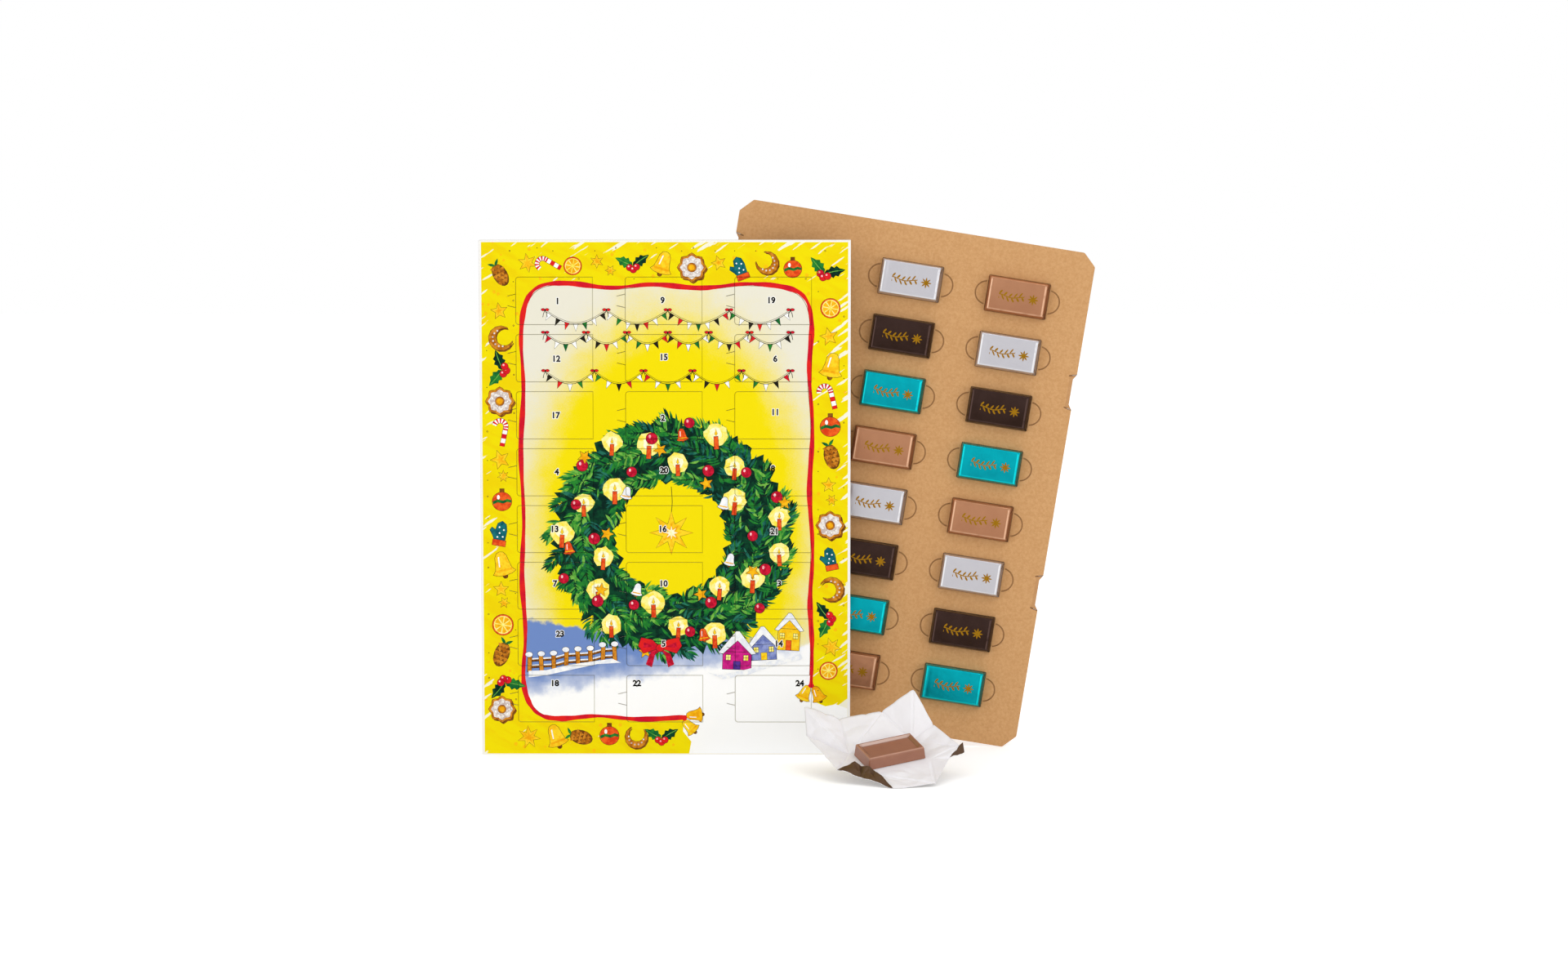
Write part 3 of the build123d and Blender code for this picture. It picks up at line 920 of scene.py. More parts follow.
def draw_garland(z, count, sag, start):
    """A thin double cord hung in swags between knots, with small pennants on it."""
    pitch = GARLAND_SPAN / count
    steps = 2 * round(pitch / PENNANT_SPACING)
    for k in range(count):
        x = GARLAND_LEFT + pitch * k
        swag = [(x + pitch * t / steps, z - sag * math.sin(math.pi * t / steps))
                for t in range(steps + 1)]
        stroke("line", swag, 0.34)
        stroke("line", [(u, v + 1.0) for u, v in swag], 0.2)
        for t in range(1, steps, 2):
            flag = [(-1.5, 0.0), (0.0, -4.6), (1.5, 0.0)]
            lean = math.degrees(math.atan(-sag * math.pi / pitch * math.cos(math.pi * t / steps)))
            fill = ("halo", "line", "red", "halo", "green")[(start + 3 * k + t // 2) % 5]
            outlined(fill, turned(flag, swag[t][0], swag[t][1] - 0.1, lean), 0.22)
    for k in range(count + 1):
        x = GARLAND_LEFT + pitch * k
        for side in (-1, 1):
            stroke("line", [(x, z + 0.6), (x + 1.1 * side, z - 1.8), (x + 1.5 * side, z - 4.0)], 0.36)
            outlined("red", ellipse(1.3, 0.8, 10, x + 1.3 * side, z + 1.0), 0.2)
        draw("line", circle(0.6, 10, x, z + 0.7))


def ragged(points, low):
    """Points moved in and out at random, down to the share low."""
    return [(u * random.uniform(low, 1.1), v * random.uniform(low, 1.1)) for u, v in points]


def draw_candle(x, z, size):
    """A candle with a brushed halo of light."""
    halo = ragged(circle(size, 16), 0.86)
    draw("glow", turned(halo, x, z + 0.3 * size, random.uniform(0, 360)))
    draw("pale", turned(ragged(circle(0.55 * size, 12), 0.8), x, z + 0.35 * size, 0))
    wax = [(-0.19, -0.95), (0.19, -0.95), (0.17, 0.12), (-0.17, 0.12)]
    outlined("orange", turned(wax, x, z, random.uniform(-5, 5), size), 0.22)
    flame = [(0.0, 0.2), (0.12, 0.34), (0.0, 0.72), (-0.12, 0.34)]
    outlined("gold", turned(flame, x, z, 0, size), 0.16)


def draw_ball(x, z, radius):
    """A red ball with a highlight."""
    outlined("berry", circle(radius, 18, x, z), 0.24)
    draw("blush", ellipse(radius * 0.22, radius * 0.3, 10, x - radius * 0.35, z + radius * 0.35))


def on_wreath(angle, off):
    """A point by its angle in degrees and how far outside the wreath's middle line it is."""
    return on_circle(WREATH_RADIUS + off, math.radians(angle), *WREATH)


def draw_twig(x, z, angle, length, greens):
    """A fan of brushed needles along a bent stem."""
    count = 7
    for k in range(count, -1, -1):
        share = k / count
        root = turned([(length * 0.72 * share, 0.0)], x, z, angle)[0]
        for side in (-1, 1):
            spread = side * (52 - 34 * share) + random.uniform(-8, 8)
            reach = length * (0.50 - 0.12 * share) * random.uniform(0.85, 1.15)
            needle = leaf_points(reach, random.uniform(1.3, 2.1), side * 0.5)
            draw(random.choice(greens), turned(needle, *root, angle + spread))
    tip = turned([(length * 0.62, 0.0)], x, z, angle)[0]
    draw(greens[-1], turned(leaf_points(length * 0.42, 1.9), *tip, angle))
    if random.random() < 0.6:
        vein = [(0.1 * length, 0.0), (0.45 * length, 0.35), (0.85 * length, 0.0)]
        stroke("line", turned(vein, x, z, angle), 0.3, ends=0.3)


def wavy_ring(count, share, off, wave, turn, low, high):
    """Points round the wreath at a share of this distance off its middle line."""
    return [on_wreath(360 / count * k,
                      share * (off + wave * math.sin(k * turn) + random.uniform(low, high)))
            for k in range(count)]


def draw_wreath():
    """A thick fir wreath: dark ground, three rings of twigs, loose needles and pen hooks."""
    rim = wavy_ring(120, 0.8, 26, 4.5, 2.4, -2.5, 3.0)
    inner = wavy_ring(60, -1, 19, 2.5, 2.1, -1.5, 1.5)
    draw("dark_green", *[[rim[k], rim[(k + 1) % 120], inner[((k + 1) // 2) % 60], inner[k // 2]]
                         for k in range(120)])
    tones = (("dark_green", "green", "blue_green"), ("green", "dark_green", "light_green"),
             ("green", "light_green", "green"), ("blue_green", "green", "dark_green"))
    # Each ring's place off the middle line, its twigs, their length, lean and stagger
    for off, count, length, lean, stagger in (
            (13, 44, 19, 58, 0.0), (-13, 30, 15, 98, 0.5), (2, 40, 18, 88, 0.0)):
        for k in range(count):
            angle = 360 * (k + stagger) / count + random.uniform(-3, 3)
            turn = angle + lean + random.uniform(-24, 24)
            x, z = on_wreath(angle, off + random.uniform(-4, 4))
            draw_twig(x, z, turn, length * random.uniform(0.85, 1.15), random.choice(tones))
    for k in range(70):
        angle = 360 * k / 70 + random.uniform(-4, 4)
        x, z = on_wreath(angle, random.uniform(-15, 20))
        turn = angle + random.choice((60, 95, 130)) + random.uniform(-20, 20)
        needle = leaf_points(random.uniform(5.5, 9.5), random.uniform(1.6, 2.4), 0.5)
        draw(random.choice(("light_green", "light_green", "green")), turned(needle, x, z, turn))
    for k in range(60):
        x, z = on_wreath(360 * k / 60 + random.uniform(-6, 6), random.uniform(-14, 20))
        hook = [(0.0, 0.0), (2.2, 0.7), (4.4, 0.0)]
        stroke("line", turned(hook, x, z, random.uniform(0, 360)), 0.55, ends=0.2)


def dress_wreath():
    """What hangs on the wreath."""
    x, z = WREATH
    for k in range(19):
        draw_candle(*on_wreath(360 * k / 19 + 9, (16, -9, 5)[k % 3]), 7.0 + 0.9 * (k % 2))
    for k in range(18):
        off = (-4, 19, 9)[k % 3] + random.uniform(-2, 2)
        draw_ball(*on_wreath(20 * k + 1, off), 3.4 + 0.4 * (k % 2))
    for k in range(9):
        draw_star(*on_wreath(40 * k + 17, (22, -14, 2)[k % 3]), 4.6, turn=13 * k, fill="amber")
    for k in range(7):
        off, turn, fill = ((-15, -12, "white"), (12, 10, "orange"))[k % 2]
        draw_bell(*on_wreath(51 * k + 33, off), 8.5, turn, fill)
    stroke("line", smooth_path([(x, z + 34), (x + 0.6, z + 24), (x, z + 16)]), 0.4)
    draw_star(x, z + 3, 14.5, count=8, pointed=0.42)
    draw("pale", turned(star_points(4.4, 1.9, 8), x, z + 3, 0))


def draw_wreath_bow():
    """A red bow at the wreath's foot."""
    x, z = on_wreath(264, 18)
    tail = [(0, 0), (3.5, -5.0), (5.5, -13.0), (9.5, -11.0), (7.0, -4.0)]
    loop = [(0, 0), (5, 5.5), (12.5, 7.0), (14.5, 1.5), (11, -3.5)]
    fold = [(3.5, 0.8), (10.8, 4.0), (11.3, 0.2)]
    for side in (-1, 1):
        # Each outline stays counter-clockwise when it is mirrored
        left, middle, right = (turned([(side * u, v) for u, v in points][::-side], x, z, 0)
                               for points in (tail, loop, fold))
        outlined("berry", left, 0.26)
        outlined("red", middle, 0.26)
        draw("berry", right)
    outlined("red", ellipse(2.7, 2.4, 14, x, z), 0.26)


def draw_house(x, z, width, height, wall, door_ink, lean):
    """A small house under snow."""
    at = brought_to(x, z, lean)
    eaves = height - 1.6
    ridge = height + 0.72 * width
    roof = [(-0.66 * width, height - 1.0), (-0.5 * width, eaves), (0.0, height + 0.40 * width),
            (0.5 * width, eaves), (0.66 * width, height - 1.0), (0.06 * width, ridge),
            (-0.06 * width, ridge)]
    outlined(wall, at(upright(0.5 * width, 0.0, height)))
    outlined(wall, at([(-0.5 * width, height), (0.5 * width, height), (0.0, height + 0.55 * width)]))
    outlined("white", at(roof), 0.26)
    outlined(door_ink, at(upright(0.12 * width, 0.0, 0.45 * height)), 0.22)
    for side in (-0.31, 0.31):
        pane_at = brought_to(*at([(side * width, 0.66 * height)])[0], lean)
        outlined("glow", pane_at(upright(1.5, -1.7, 1.7)), 0.22)
        stroke("line", pane_at([(0, -1.7), (0, 1.7)]), 0.25)
        stroke("line", pane_at([(-1.5, 0), (1.5, 0)]), 0.25)


def draw_village():
    """Three houses on the rise at the right."""
    draw_house(82.0, 71.0, 14.5, 14.5, "gold", "orange", -3)
    draw_house(66.0, 64.5, 16.5, 10.5, "lilac", "gold", 3)
    draw_house(47.5, 58.0, 19.0, 12.0, "magenta", "violet", -2)
    draw("white", [(92, 65), (86, 63.5), (68, 59), (54, 54), (38, 51.5), (28, 56), (36, 54),
                   (50, 57), (62, 60), (70, 63.5), (84, 66), (90, 69)])


def draw_fence():
    """A snowed-in fence that runs down to the left."""
    posts = [(-34 - 8.2 * k, 63.5 - 1.1 * k + 0.7 * math.sin(2.1 * k)) for k in range(8)]
    for rise in (3.2, 7.6):
        rail = [(x, z + rise) for x, z in posts]
        stroke("line", rail, 2.1)
        stroke("brown", rail, 1.5)
        stroke("white", [(x, z + 0.9) for x, z in rail], 0.9)
    for k, (x, z) in enumerate(posts):
        outlined("biscuit", turned(upright(1.3, 0.0, 11.0), x, z, (3, -2, 1)[k % 3]), 0.26)
        outlined("white", ellipse(2.4, 1.7, 14, x - 0.2, z + 11.6), 0.22)
    draw("white", [(-92, 52.5), (-80, 54.0), (-62, 58.0), (-46, 61.5), (-30, 62.5), (-36, 65.2),
                   (-50, 63.2), (-66, 60.8), (-80, 57.4), (-92, 57.0)])


MOTIFS = {
    "holly": draw_holly,
    "bell": draw_bell,
    "cane": draw_cane,
    "ring": draw_ring_biscuit,
    "moon": draw_moon_biscuit,
    "bauble": draw_bauble,
    "cone": draw_cone,
    "mitten": draw_mitten,
    "slice": draw_slice,
}
BORDER = (
    (-109, 322, "cone", 13, 30), (-91, 330, "star", 5.4, 10), (-77, 329, "cane", 14, 60),
    (-61, 328, "slice", 11, 0), (-45, 331, "star", 3.8, 0), (-36, 325, "star", 3.0, 30),
    (-21, 328, "holly", 11, 5), (-1, 330, "bell", 13, -18), (18, 327, "ring", 15, 0),
    (36, 330, "star", 4.2, 18), (50, 327, "mitten", 14, 20), (68, 330, "moon", 13, 140),
    (85, 326, "bauble", 11, 0), (106, 323, "holly", 12, -20),
    (-110, 298, "star", 4.8, 8), (-109, 280, "moon", 14, 20), (-108, 259, "holly", 12, 80),
    (-110, 238, "ring", 15, 0), (-109, 217, "cane", 15, -12), (-110, 199, "star", 5.6, 20),
    (-108, 188, "star", 3.4, 0), (-109, 171, "bauble", 12, 0), (-110, 150, "mitten", 15, -10),
    (-109, 129, "bell", 14, 14), (-110, 112, "star", 4.4, 0), (-108, 103, "star", 3.2, 25),
    (-109, 88, "slice", 13, 0), (-110, 68, "cone", 14, -20), (-108, 49, "holly", 12, 200),
    (-110, 31, "ring", 14, 0),
    (110, 300, "slice", 12, 0), (109, 281, "star", 5.2, 12), (111, 262, "bell", 14, -10),
    (109, 241, "cane", 15, 14), (110, 221, "bauble", 12.5, 0), (111, 201, "cone", 14, 15),
    (109, 182, "star", 4.2, 0), (111, 172, "star", 3.2, 30), (110, 155, "ring", 15, 0),
    (110, 133, "mitten", 14, 12), (111, 112, "moon", 14, 190), (109, 92, "holly", 12, 95),
    (111, 73, "star", 5.6, 20), (109, 57, "slice", 11, 0),
    (-92, 12, "star", 6.6, 5), (-74, 13, "bell", 13, 20), (-57, 12, "cone", 13, 75),
    (-38, 13, "bauble", 12, 0), (-20, 12, "moon", 13, 80), (-3, 11, "holly", 11, 0),
)


def draw_border():
    """Motifs and pen dots round the frame line."""
    for x, z, kind, size, turn in BORDER:
        if kind == "star":
            draw_star(x, z, STAR_SCALE * size, turn, count=5 + int(abs(x) + z) % 3)
        else:
            MOTIFS[kind](x, z, MOTIF_SCALE * size, turn)
    dots = (0.35, 0.6)
    for k in range(16):
        draw_scatter(-100 + 13.6 * k + random.uniform(-4, 4), random.choice((319.5, 338, 340)),
                     random.choice(dots))
    for k in range(20):
        z = 40 + 14.6 * k + random.uniform(-4, 4)
        draw_scatter(random.choice((-118.5, -100.5)), z, random.choice(dots))
        draw_scatter(random.choice((119, 102)), z + 6, random.choice(dots))


def figure_parts(text, swell):
    """The flat parts of some figures about their middle, one unit being the letter size."""
    curve = bpy.data.curves.new("figures", "FONT")
    curve.body = text
    curve.align_x = "CENTER"
    curve.align_y = "CENTER"
    curve.offset = swell
    curve.resolution_u = 3
    holder = new_object("figures", curve)
    bpy.context.view_layer.update()
    mesh = bpy.data.meshes.new_from_object(holder)
    parts = [[tuple(mesh.vertices[v].co[:2]) for v in face.vertices] for face in mesh.polygons]
    bpy.data.objects.remove(holder)
    bpy.data.curves.remove(curve)
    bpy.data.meshes.remove(mesh)
    return parts


def draw_numbers():
    """The door numbers in plain upright figures, each with a thin white edge."""
    for number, (x, z) in NUMBER_PLACES.items():
        for ink, swell in (("halo", 0.105), ("line", 0.042)):
            parts = figure_parts(str(number), swell)
            draw(ink, *[turned(part, x, z, 0, FIGURE_SIZE) for part in parts])


# From drawn shapes to meshes: the print is cut along each door, and each part rides with its card

def area_of(points):
    """The area inside an outline, negative where it runs clockwise."""
    return sum(points[k - 1][0] * points[k][1] - points[k][0] * points[k - 1][1]
               for k in range(len(points))) / 2


def convex_parts(outline):
    """Counter-clockwise triangles, or the outline itself if it has only three points."""
    if len(outline) == 3:
        triangles = [outline]
    else:
        flat = [Vector((x, z, 0.0)) for x, z in outline]
        triangles = [[outline[k] for k in face] for face in tessellate_polygon([flat])]
    parts = []
    for triangle in triangles:
        area = area_of(triangle)
        if abs(area) > 1e-5:
            parts.append(triangle if area > 0 else triangle[::-1])
    return parts


def divided(points, start, end):
    """The parts of a convex outline to the left and to the right of a line."""
    run_x, run_z = end[0] - start[0], end[1] - start[1]
    sides = [run_x * (z - start[1]) - run_z * (x - start[0]) for x, z in points]
    left = []
    right = []
    for k, point in enumerate(points):
        before, side = sides[k - 1], sides[k]
        if before * side < 0:
            share = before / (before - side)
            crossing = tuple(a + (b - a) * share for a, b in zip(points[k - 1], point))
            left.append(crossing)
            right.append(crossing)
        if side >= 0:
            left.append(point)
        if side <= 0:
            right.append(point)
    return left, right


def split_by(points, outline):
    """The parts of a convex shape outside a counter-clockwise convex outline, and the part inside."""
    outside = []
    for k, corner in enumerate(outline):
        points, beyond = divided(points, outline[k - 1], corner)
        if len(beyond) > 2 and area_of(beyond) > 1e-6:
            outside.append(beyond)
        if len(points) < 3 or area_of(points) < 1e-6:
            return outside, None
    return outside, points


def bounds_of(points):
    """Left, low, right and high."""
    xs, zs = zip(*points)
    return min(xs), min(zs), max(xs), max(zs)


def meets(first, second):
    """Whether two such bounds overlap."""
    return (first[0] < second[2] and second[0] < first[2]
            and first[1] < second[3] and second[1] < first[3])


def door_opening(hinge_x, z, gap):
    """A door's outline, smaller by the gap at its free edges, counter-clockwise."""
    radius = DOOR_CORNER - gap
    centre_x = hinge_x - DOOR_WIDTH + gap + radius
    half = DOOR_HEIGHT / 2 - gap
    points = [(hinge_x, z - half), (hinge_x, z + half)]
    for start, centre_z in ((90, z + half - radius), (180, z - half + radius)):
        points += [on_circle(radius, math.radians(start + 22.5 * k), centre_x, centre_z)
                   for k in range(5)]
    return points


def slit_outlines(hinge_x, z):
    """The two slits of a door's finger tab, each a counter-clockwise outline."""
    root_x = hinge_x - DOOR_WIDTH + PUNCHED_LINE
    end_x = hinge_x - DOOR_WIDTH - TAB_LENGTH
    half = TAB_SLIT / 2
    upper = [(root_x, z + TAB_ROOT + half), (end_x, z + TAB_END + half),
             (end_x, z + TAB_END - half), (root_x, z + TAB_ROOT - half)]
    return upper, [(x, 2 * z - v) for x, v in upper[::-1]]


def layers_of_shapes():
    """How many layers lie under each shape, so that no two overlapping shapes share a layer."""
    layers = []
    boxes = []
    for _, parts in shapes:
        box = bounds_of([point for part in parts for point in part])
        layer = 0
        for earlier, height in zip(boxes, layers):
            if height >= layer and meets(box, earlier):
                layer = height + 1
        boxes.append(box)
        layers.append(layer)
    return layers


def make_print():
    """Cut all shapes along the doors, and build one mesh for the panel and one for each door."""
    doors = []
    for joint in frame["joints"]:
        if joint["name"].startswith("door_"):
            hinge_x, _, z = (value / MM for value in joint["pos_m"])
            doors.append((joint["child"], door_opening(hinge_x, z, 0.0),
                          door_opening(hinge_x, z, PUNCHED_LINE), slit_outlines(hinge_x, z)))
    faces = {name: [] for name, *_ in doors}
    faces["front_panel"] = []
    for (ink, parts), layer in zip(shapes, layers_of_shapes()):
        height = LAYER * (layer + 1)
        for outline in parts:
            for triangle in convex_parts(outline):
                cut_shape(triangle, doors, ink, height, faces)
    for name, found in faces.items():
        if found:
            body = name if name in frame["bodies"] else "sleeve"
            build_print_mesh("print_" + name, found, body)


def cut_shape(triangle, doors, ink, height, faces):
    """Share one triangle out between the panel and the doors that it meets."""
    left_over = [triangle]
    for name, opening, card, slits in doors:
        left, low, right, high = bounds_of(opening)
        if not meets(bounds_of(triangle), (left - TAB_LENGTH, low, right, high)):
            continue
        kept = []
        for part in left_over:
            outside, inside = split_by(part, opening)
            kept.extend(outside)
            on_door = inside and split_by(inside, card)[1]
            if on_door:
                faces[name].append((ink, height, on_door))
        for slit in slits:
            kept = [piece for part in kept for piece in split_by(part, slit)[0]]
        left_over = kept
    faces["front_panel"].extend((ink, height, part) for part in left_over)


def build_print_mesh(name, found, body):
    """One piece of the print, with a material slot for each of its inks."""
    vertices = []
    polygons = []
    used = sorted({ink for ink, _, _ in found})
    for _, height, points in found:
        start = len(vertices)
        vertices.extend((x * MM, (FRONT_Y - height) * MM, z * MM) for x, z in points)
        polygons.append(tuple(range(start, start + len(points))))
    mesh = new_mesh(name, vertices, polygons, *[INKS[ink] for ink in used])
    mesh.polygons.foreach_set("material_index", [used.index(ink) for ink, _, _ in found])
    piece = new_object(name, mesh)
    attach(piece, body)


def draw_print():
    draw("inner", FRAME_LINE + OPEN_CORNER)
    draw_frame_line()
    draw_garland(298.0, 4, 8.5, 0)
    draw_garland(283.0, 6, 7.0, 2)
    draw_garland(257.5, 5, 8.0, 1)
    draw_wreath()
    dress_wreath()
    draw_wreath_bow()
    draw_village()
    draw_fence()
    draw_border()
    draw_numbers()
    make_print()


# Foil wrapped bars

BAR_TOP = 7.7
# Heights of the foil from the base up to the top face, and how far it is inset there from the
# edge of the base. The right end and the low side lean further in, so that they show beside the
# top.
STEEP = (0.0, 4.0, 6.6, 7.3, 7.62, BAR_TOP)
LEANING = (0.0, 3.8, 5.2, 6.6, 7.3, 7.62, BAR_TOP)
LEFT_PROFILE = tuple(zip((0.0, 0.25, 0.5, 0.7, 1.0, 1.5), STEEP))
RIGHT_PROFILE = tuple(zip((0.0, 0.2, 0.9, 1.7, 2.05, 2.35, 2.8), LEANING))
HIGH_PROFILE = tuple(zip((0.0, 0.2, 0.4, 0.6, 0.9, 1.4), STEEP))
LOW_PROFILE = tuple(zip((0.0, 0.2, 0.7, 1.25, 1.55, 1.85, 2.3), LEANING))
# How far from each end its raised fold is
LEFT_FOLD = 1.7
RIGHT_FOLD = 2.9


def bar_samples(half, first, second):
    """Places across the bar with their profile heights, dense at the edges."""
    low = [(inset - half, height) for inset, height in first]
    high = [(half - inset, height) for inset, height in second]
    start, end = low[-1][0], high[-1][0]
    count = round(end - start)
    middle = [(start + (end - start) * k / count, BAR_TOP) for k in range(1, count)]
    return low + middle + high[::-1]


def foil_height(u, v, profile, seed):
    """Height of the foil: pillowed, faintly crumpled, with a raised fold near each end."""
    pillow = 0.10 * (1 - (u / 21) ** 2) * (1 - (v / 12) ** 2)
    waves = 0.11 * noise.noise(Vector((u / 7.0, v / 5.0, seed)))
    fine = 0.045 * noise.noise(Vector((u / 2.2, v / 2.2, seed + 9.0)))
    # The fold fades beside the bar's corners, and the foil dips beyond it
    beyond = BAR_LENGTH / 2 - abs(u) - (RIGHT_FOLD if u > 0 else LEFT_FOLD)
    fold = 0.30 * math.exp(-(beyond / 0.45) ** 2) * (1 if abs(v) < 10.0 else 0.2)
    dip = -0.24 * math.exp(-((beyond - 1.1) / 0.7) ** 2)
    on_top = max(profile / BAR_TOP, 0.0) ** 6
    return profile + on_top * (pillow + waves + fine + fold + dip)


def make_foil_bar(node, slot, seed):
    """The foil skin of one bar, closed below, in place of its plain CAD block."""
    low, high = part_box(node)
    middle = (low + high) / 2
    along = Vector((math.cos(TRAY_TURN), 0.0, -math.sin(TRAY_TURN)))
    across = Vector((math.sin(TRAY_TURN), 0.0, math.cos(TRAY_TURN)))
    base = Vector((middle.x, high.y, middle.z))
    us = bar_samples(BAR_LENGTH / 2, LEFT_PROFILE, RIGHT_PROFILE)
    vs = bar_samples(BAR_WIDTH / 2, LOW_PROFILE, HIGH_PROFILE)
    vertices = []
    flat = []
    for v, v_height in vs:
        for u, u_height in us:
            height = foil_height(u, v, min(u_height, v_height), seed)
            vertices.append(base + (along * u + across * v) * MM + Vector((0, -height * MM, 0)))
            flat.append((u, v))
    wide = len(us)
    faces = [(wide * j + i, wide * j + i + 1, wide * (j + 1) + i + 1, wide * (j + 1) + i)
             for j in range(len(vs) - 1) for i in range(wide - 1)]
    last = wide * (len(vs) - 1)
    rim = [*range(wide), *(wide * j + wide - 1 for j in range(1, len(vs))),
           *range(last + wide - 2, last - 1, -1), *(wide * j for j in range(len(vs) - 2, 0, -1))]
    faces.append(tuple(rim[::-1]))
    mesh = new_mesh("foil_" + node, vertices, faces, MATERIALS[slot])
    plan = mesh.uv_layers.new(name="plan")
    for loop in mesh.loops:
        u, v = flat[loop.vertex_index]
        plan.data[loop.index].uv = (u / BAR_PLAN + 0.5, v / BAR_PLAN + 0.5)
    mesh.polygons.foreach_set("use_smooth", [True] * (len(faces) - 1) + [False])
    piece = new_object("foil_" + node, mesh)
    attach(piece, node)
    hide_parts(node)


def make_foil_bars():
    for seed, row in enumerate(frame["record"]["subparts"]):
        if row["node"].startswith("chocolate_"):
            make_foil_bar(row["node"], row["material_slot"], 3.7 * seed)


# Opened wrapper: facets that fan out from the flat seat under the bar to the rim

SEAT_LENGTH = 22.5
SEAT_WIDTH = 13.8
SEAT_CORNERS = ((-SEAT_LENGTH, -SEAT_WIDTH, 0.0), (SEAT_LENGTH, -SEAT_WIDTH, 0.0),
                (SEAT_LENGTH, SEAT_WIDTH, 0.0), (-SEAT_LENGTH, SEAT_WIDTH, 0.0))
RIM = (
    (-15.8, -40.0, 0.0), (12.3, -43.0, 0.0), (34.3, -18.0, 1.0), (45.8, -9.0, 2.9),
    (39.6, 18.0, 7.0), (35.2, 39.0, 24.0), (12.3, 39.0, 12.0), (-15.0, 46.0, 9.1),
    (-34.3, 59.0, 16.1), (-39.6, 44.0, 2.9), (-39.6, -5.0, 1.9),
)
RIM_CORNERS = (0, 1, 1, 2, 2, 2, 3, 3, 3, 3, 0)
FACET_STEPS = 24
FOLD_DEPTH = 0.8
FOLD_WIDTH = 1.2
LOOSE_REACH = 9.0
HINGE_REACH = 6.0
CREASE_SPACING = 15.0
CREASE_HEIGHT = 2.2
WRINKLE_SIZE = 4.0
WRINKLE_HEIGHT = 0.35
PAPER = 0.12
LOWEST = 0.25


def crinkle(point, off_seat):
    """How far the paper stands off its facet: creases between flat cells, and fine wrinkles."""
    spot = Vector((point.x / CREASE_SPACING, point.y / CREASE_SPACING, 2.0))
    near, far = noise.voronoi(spot)[0][:2]
    crease = CREASE_HEIGHT * (min(far - near, 0.5) - 0.25)
    wrinkle = Vector((point.x / WRINKLE_SIZE, point.y / WRINKLE_SIZE, 5.0))
    return off_seat * (crease + WRINKLE_HEIGHT * noise.noise(wrinkle))


def facet_grid(corners, vertices, faces, folds=(1, 2), hinge=None):
    """One facet as small triangles, crinkled, and pressed down into a fold along some edges.

    folds names the corners opposite the folded edges. hinge is the line that a corner is turned
    over on, where it keeps to the sheet.
    """
    first, second, third = corners
    area = (second - first).cross(third - first).length
    heights = [area / side.length for side in (third - second, third - first, second - first)]
    index = {}
    for i in range(FACET_STEPS + 1):
        for j in range(FACET_STEPS + 1 - i):
            shares = (1 - (i + j) / FACET_STEPS, i / FACET_STEPS, j / FACET_STEPS)
            point = first * shares[0] + second * shares[1] + third * shares[2]
            gap = max(abs(point.x) - SEAT_LENGTH, abs(point.y) - SEAT_WIDTH, 0.0)
            loose = depth = min(gap / LOOSE_REACH, 1.0)
            if hinge:
                on_hinge = intersect_point_line(point, *hinge)[0]
                loose = 1.0
                depth = 0.7 * min((point - on_hinge).length / HINGE_REACH, 1.0)
            edge = min(shares[k] * heights[k] for k in folds)
            fold = FOLD_DEPTH * depth * max(1 - edge / FOLD_WIDTH, 0.0)
            index[i, j] = len(vertices)
            vertices.append(point + Vector((0.0, 0.0, crinkle(point, loose) - fold)))
    # A corner that is turned over faces the other way
    order = -1 if hinge else 1
    for i in range(FACET_STEPS):
        for j in range(FACET_STEPS - i):
            faces.append([index[i, j], index[i + 1, j], index[i, j + 1]][::order])
            if i + j < FACET_STEPS - 1:
                faces.append([index[i + 1, j], index[i + 1, j + 1], index[i, j + 1]][::order])


def turned_corner(first, last):
    """Facets of the near left corner, folded over inwards, with a crease down its middle."""
    foot = first.lerp(last, 0.42)
    low = first.lerp(last, 0.72)
    tip, crease, shoulder, end = (Vector(point) for point in (
        (-26.5, -3.7, 5.2), (-24.2, -8.4, 3.7), (-20.8, -13.6, 5.0), (-17.4, -27.0, 3.4)))
    return [(first, foot, tip), (foot, crease, tip), (foot, shoulder, crease),
            (foot, low, shoulder), (low, end, shoulder), (low, last, end)]


def hanging_corner(first, last):
    """Facets of the right corner, folded back so that its outside shows."""
    tip, top = Vector((47.2, -13.4, 0.4)), Vector((48.6, -8.0, 3.6))
    return [(first, tip, top), (first, top, last)]


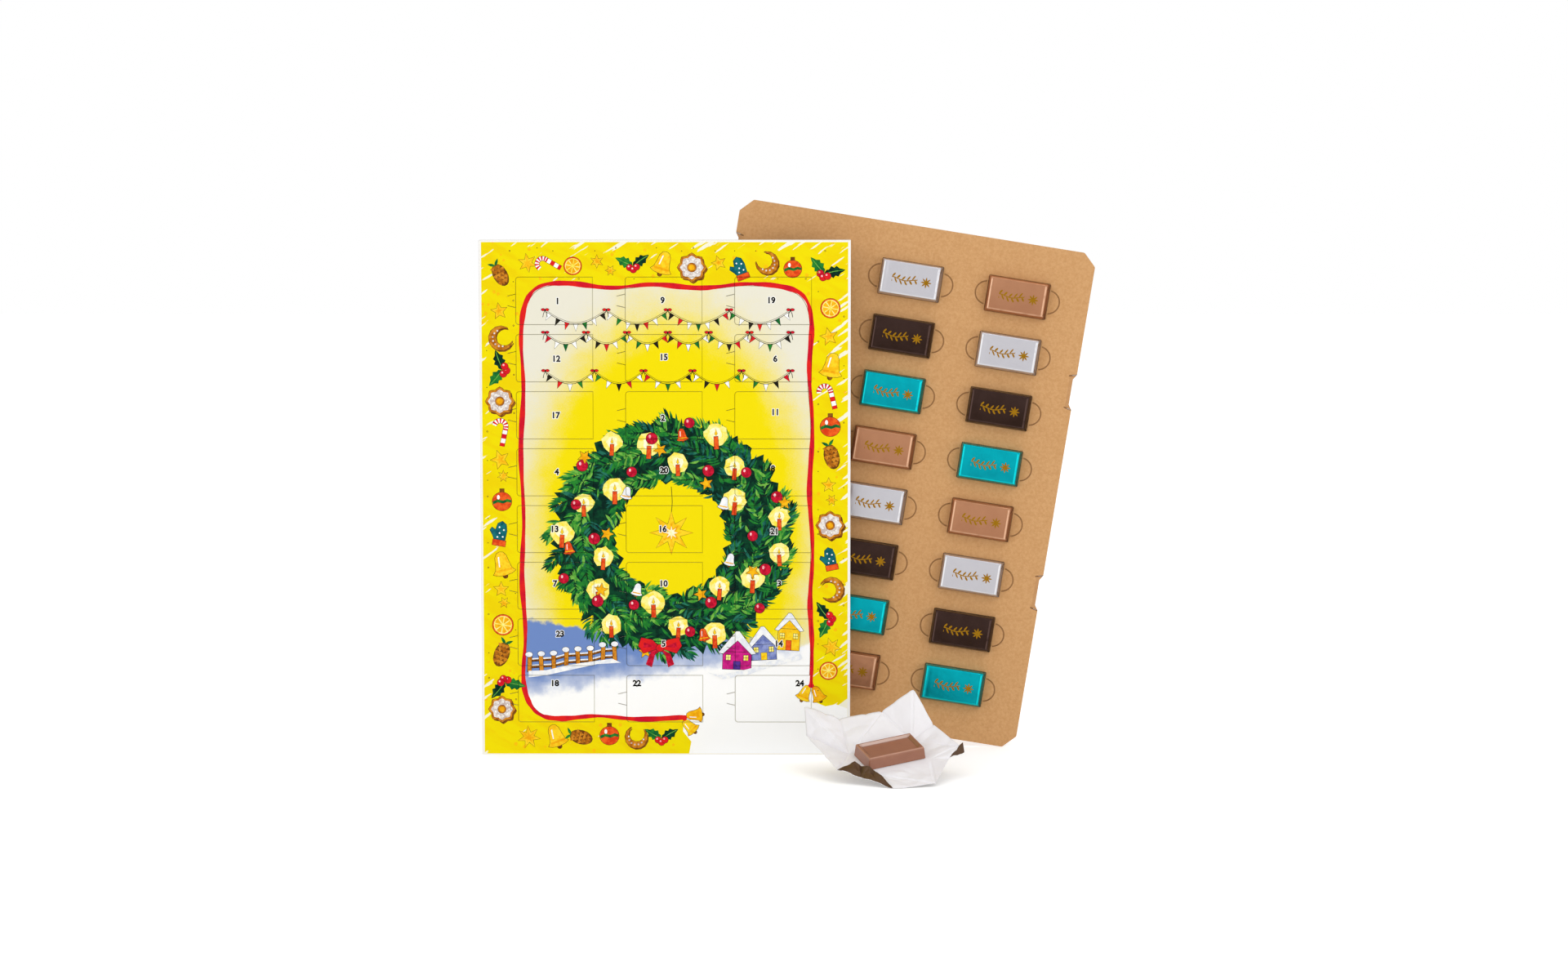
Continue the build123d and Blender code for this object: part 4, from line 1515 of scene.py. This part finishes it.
def make_wrapper():
    """The opened wrapper with its creases and two corners turned over, in place of its CAD sheet."""
    seat = [Vector(corner) for corner in SEAT_CORNERS]
    rim = [Vector(point) for point in RIM]
    vertices = []
    faces = []
    facet_grid(seat[:3], vertices, faces)
    facet_grid((seat[0], seat[2], seat[3]), vertices, faces)
    for k, corner in enumerate(RIM_CORNERS):
        after = (k + 1) % len(rim)
        facet_grid((seat[corner], rim[k], rim[after]), vertices, faces)
        if RIM_CORNERS[after] != corner:
            facet_grid((seat[corner], rim[after], seat[RIM_CORNERS[after]]), vertices, faces, (0, 2))
    for make_corner, hinge in ((turned_corner, (rim[10], rim[0])), (hanging_corner, rim[2:4])):
        for corners in make_corner(*hinge):
            facet_grid(corners, vertices, faces, (0, 1, 2), hinge)
    turn = Matrix.Rotation(WRAPPER_TURN, 3, "Z")
    tilt = Matrix.Rotation(WRAPPER_TILT, 3, "X")
    placed = [tilt @ turn @ point + Vector(WRAPPER_PLACE) for point in vertices]
    placed = [Vector((x, y, max(z, LOWEST))) * MM for x, y, z in placed]
    mesh = new_mesh("creased_wrapper", placed, faces,
                    MATERIALS["wrapper_paper"], MATERIALS["wrapper_foil"])
    joined = bmesh.new()
    joined.from_mesh(mesh)
    bmesh.ops.remove_doubles(joined, verts=joined.verts, dist=0.02 * MM)
    joined.to_mesh(mesh)
    joined.free()
    mesh.polygons.foreach_set("use_smooth", [True] * len(mesh.polygons))
    mesh.set_sharp_from_angle(angle=math.radians(9))
    piece = new_object("creased_wrapper", mesh)
    paper = piece.modifiers.new("paper", "SOLIDIFY")
    paper.thickness = PAPER * MM
    paper.offset = 1.0
    paper.material_offset = 1
    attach(piece, "wrapper")
    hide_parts("open_wrapper")


# Camera, light and ground

def make_camera():
    data = bpy.data.cameras.new("camera")
    data.sensor_fit = "HORIZONTAL"
    data.sensor_width = 36.0
    data.lens = 86.21
    data.clip_end = 100.0
    camera = new_object("camera", data)
    camera.location = (0.0879, -2.5, 0.4188)
    camera.rotation_euler = (math.radians(84.5), 0.0, math.radians(0.2))
    bpy.context.scene.camera = camera


def make_area_light(name, place, target, size, power):
    data = bpy.data.lights.new(name, "AREA")
    data.shape = "RECTANGLE"
    data.size, data.size_y = size
    data.energy = power
    light = new_object(name, data)
    light.location = place
    aim = Vector(target) - Vector(place)
    light.rotation_euler = aim.to_track_quat("-Z", "Y").to_euler()


def make_world():
    """White for the camera, and a soft room that is brighter above for all other rays."""
    world = bpy.data.worlds.new("studio")
    world.use_nodes = True
    bpy.context.scene.world = world
    nodes = Nodes(world.node_tree)
    background = world.node_tree.nodes["Background"]
    _, _, height = nodes.split(nodes.direction)
    room = nodes.mix(height.step(-0.2, 0.9), (0.74, 0.74, 0.74, 1.0), (0.86, 0.86, 0.86, 1.0))
    seen, *_ = nodes.run("ShaderNodeLightPath")
    nodes.put(background.inputs["Color"], nodes.mix(seen, room, WHITE))
    background.inputs["Strength"].default_value = 1.0


def make_floor():
    nodes = Material("studio_floor")
    # Lifted to white for the camera alone, as a lit sweep is; shadows still show on it
    seen, *_ = nodes.run("ShaderNodeLightPath")
    nodes.surface["Emission Color"].default_value = WHITE
    nodes.put(nodes.surface["Emission Strength"], seen * 0.34)
    colour = nodes.mix(nodes.noise(400.0), (0.90, 0.90, 0.90, 1.0), (0.92, 0.92, 0.92, 1.0))
    material = nodes.finish(colour, 0.9, specular=0.1)
    half = 6.0
    corners = [(-half, -half, 0), (half, -half, 0), (half, half, 0), (-half, half, 0)]
    new_object("floor", new_mesh("floor", corners, [(0, 1, 2, 3)], material))


def make_stage():
    make_camera()
    make_world()
    make_floor()
    make_area_light("key", (-1.3, -2.6, 1.2), (0.05, 0.0, 0.15), (2.2, 1.6), 11.9)
    make_area_light("fill", (1.25, -1.5, 1.6), (0.18, 0.0, 0.06), (0.8, 0.8), 7.0)
    make_area_light("low", (2.0, -1.4, 0.25), (0.2, 0.0, 0.04), (0.8, 0.5), 5.0)
    bpy.context.scene.view_settings.view_transform = "Standard"


draw_print()
dress_nodes()
make_foil_bars()
make_wrapper()
make_stage()
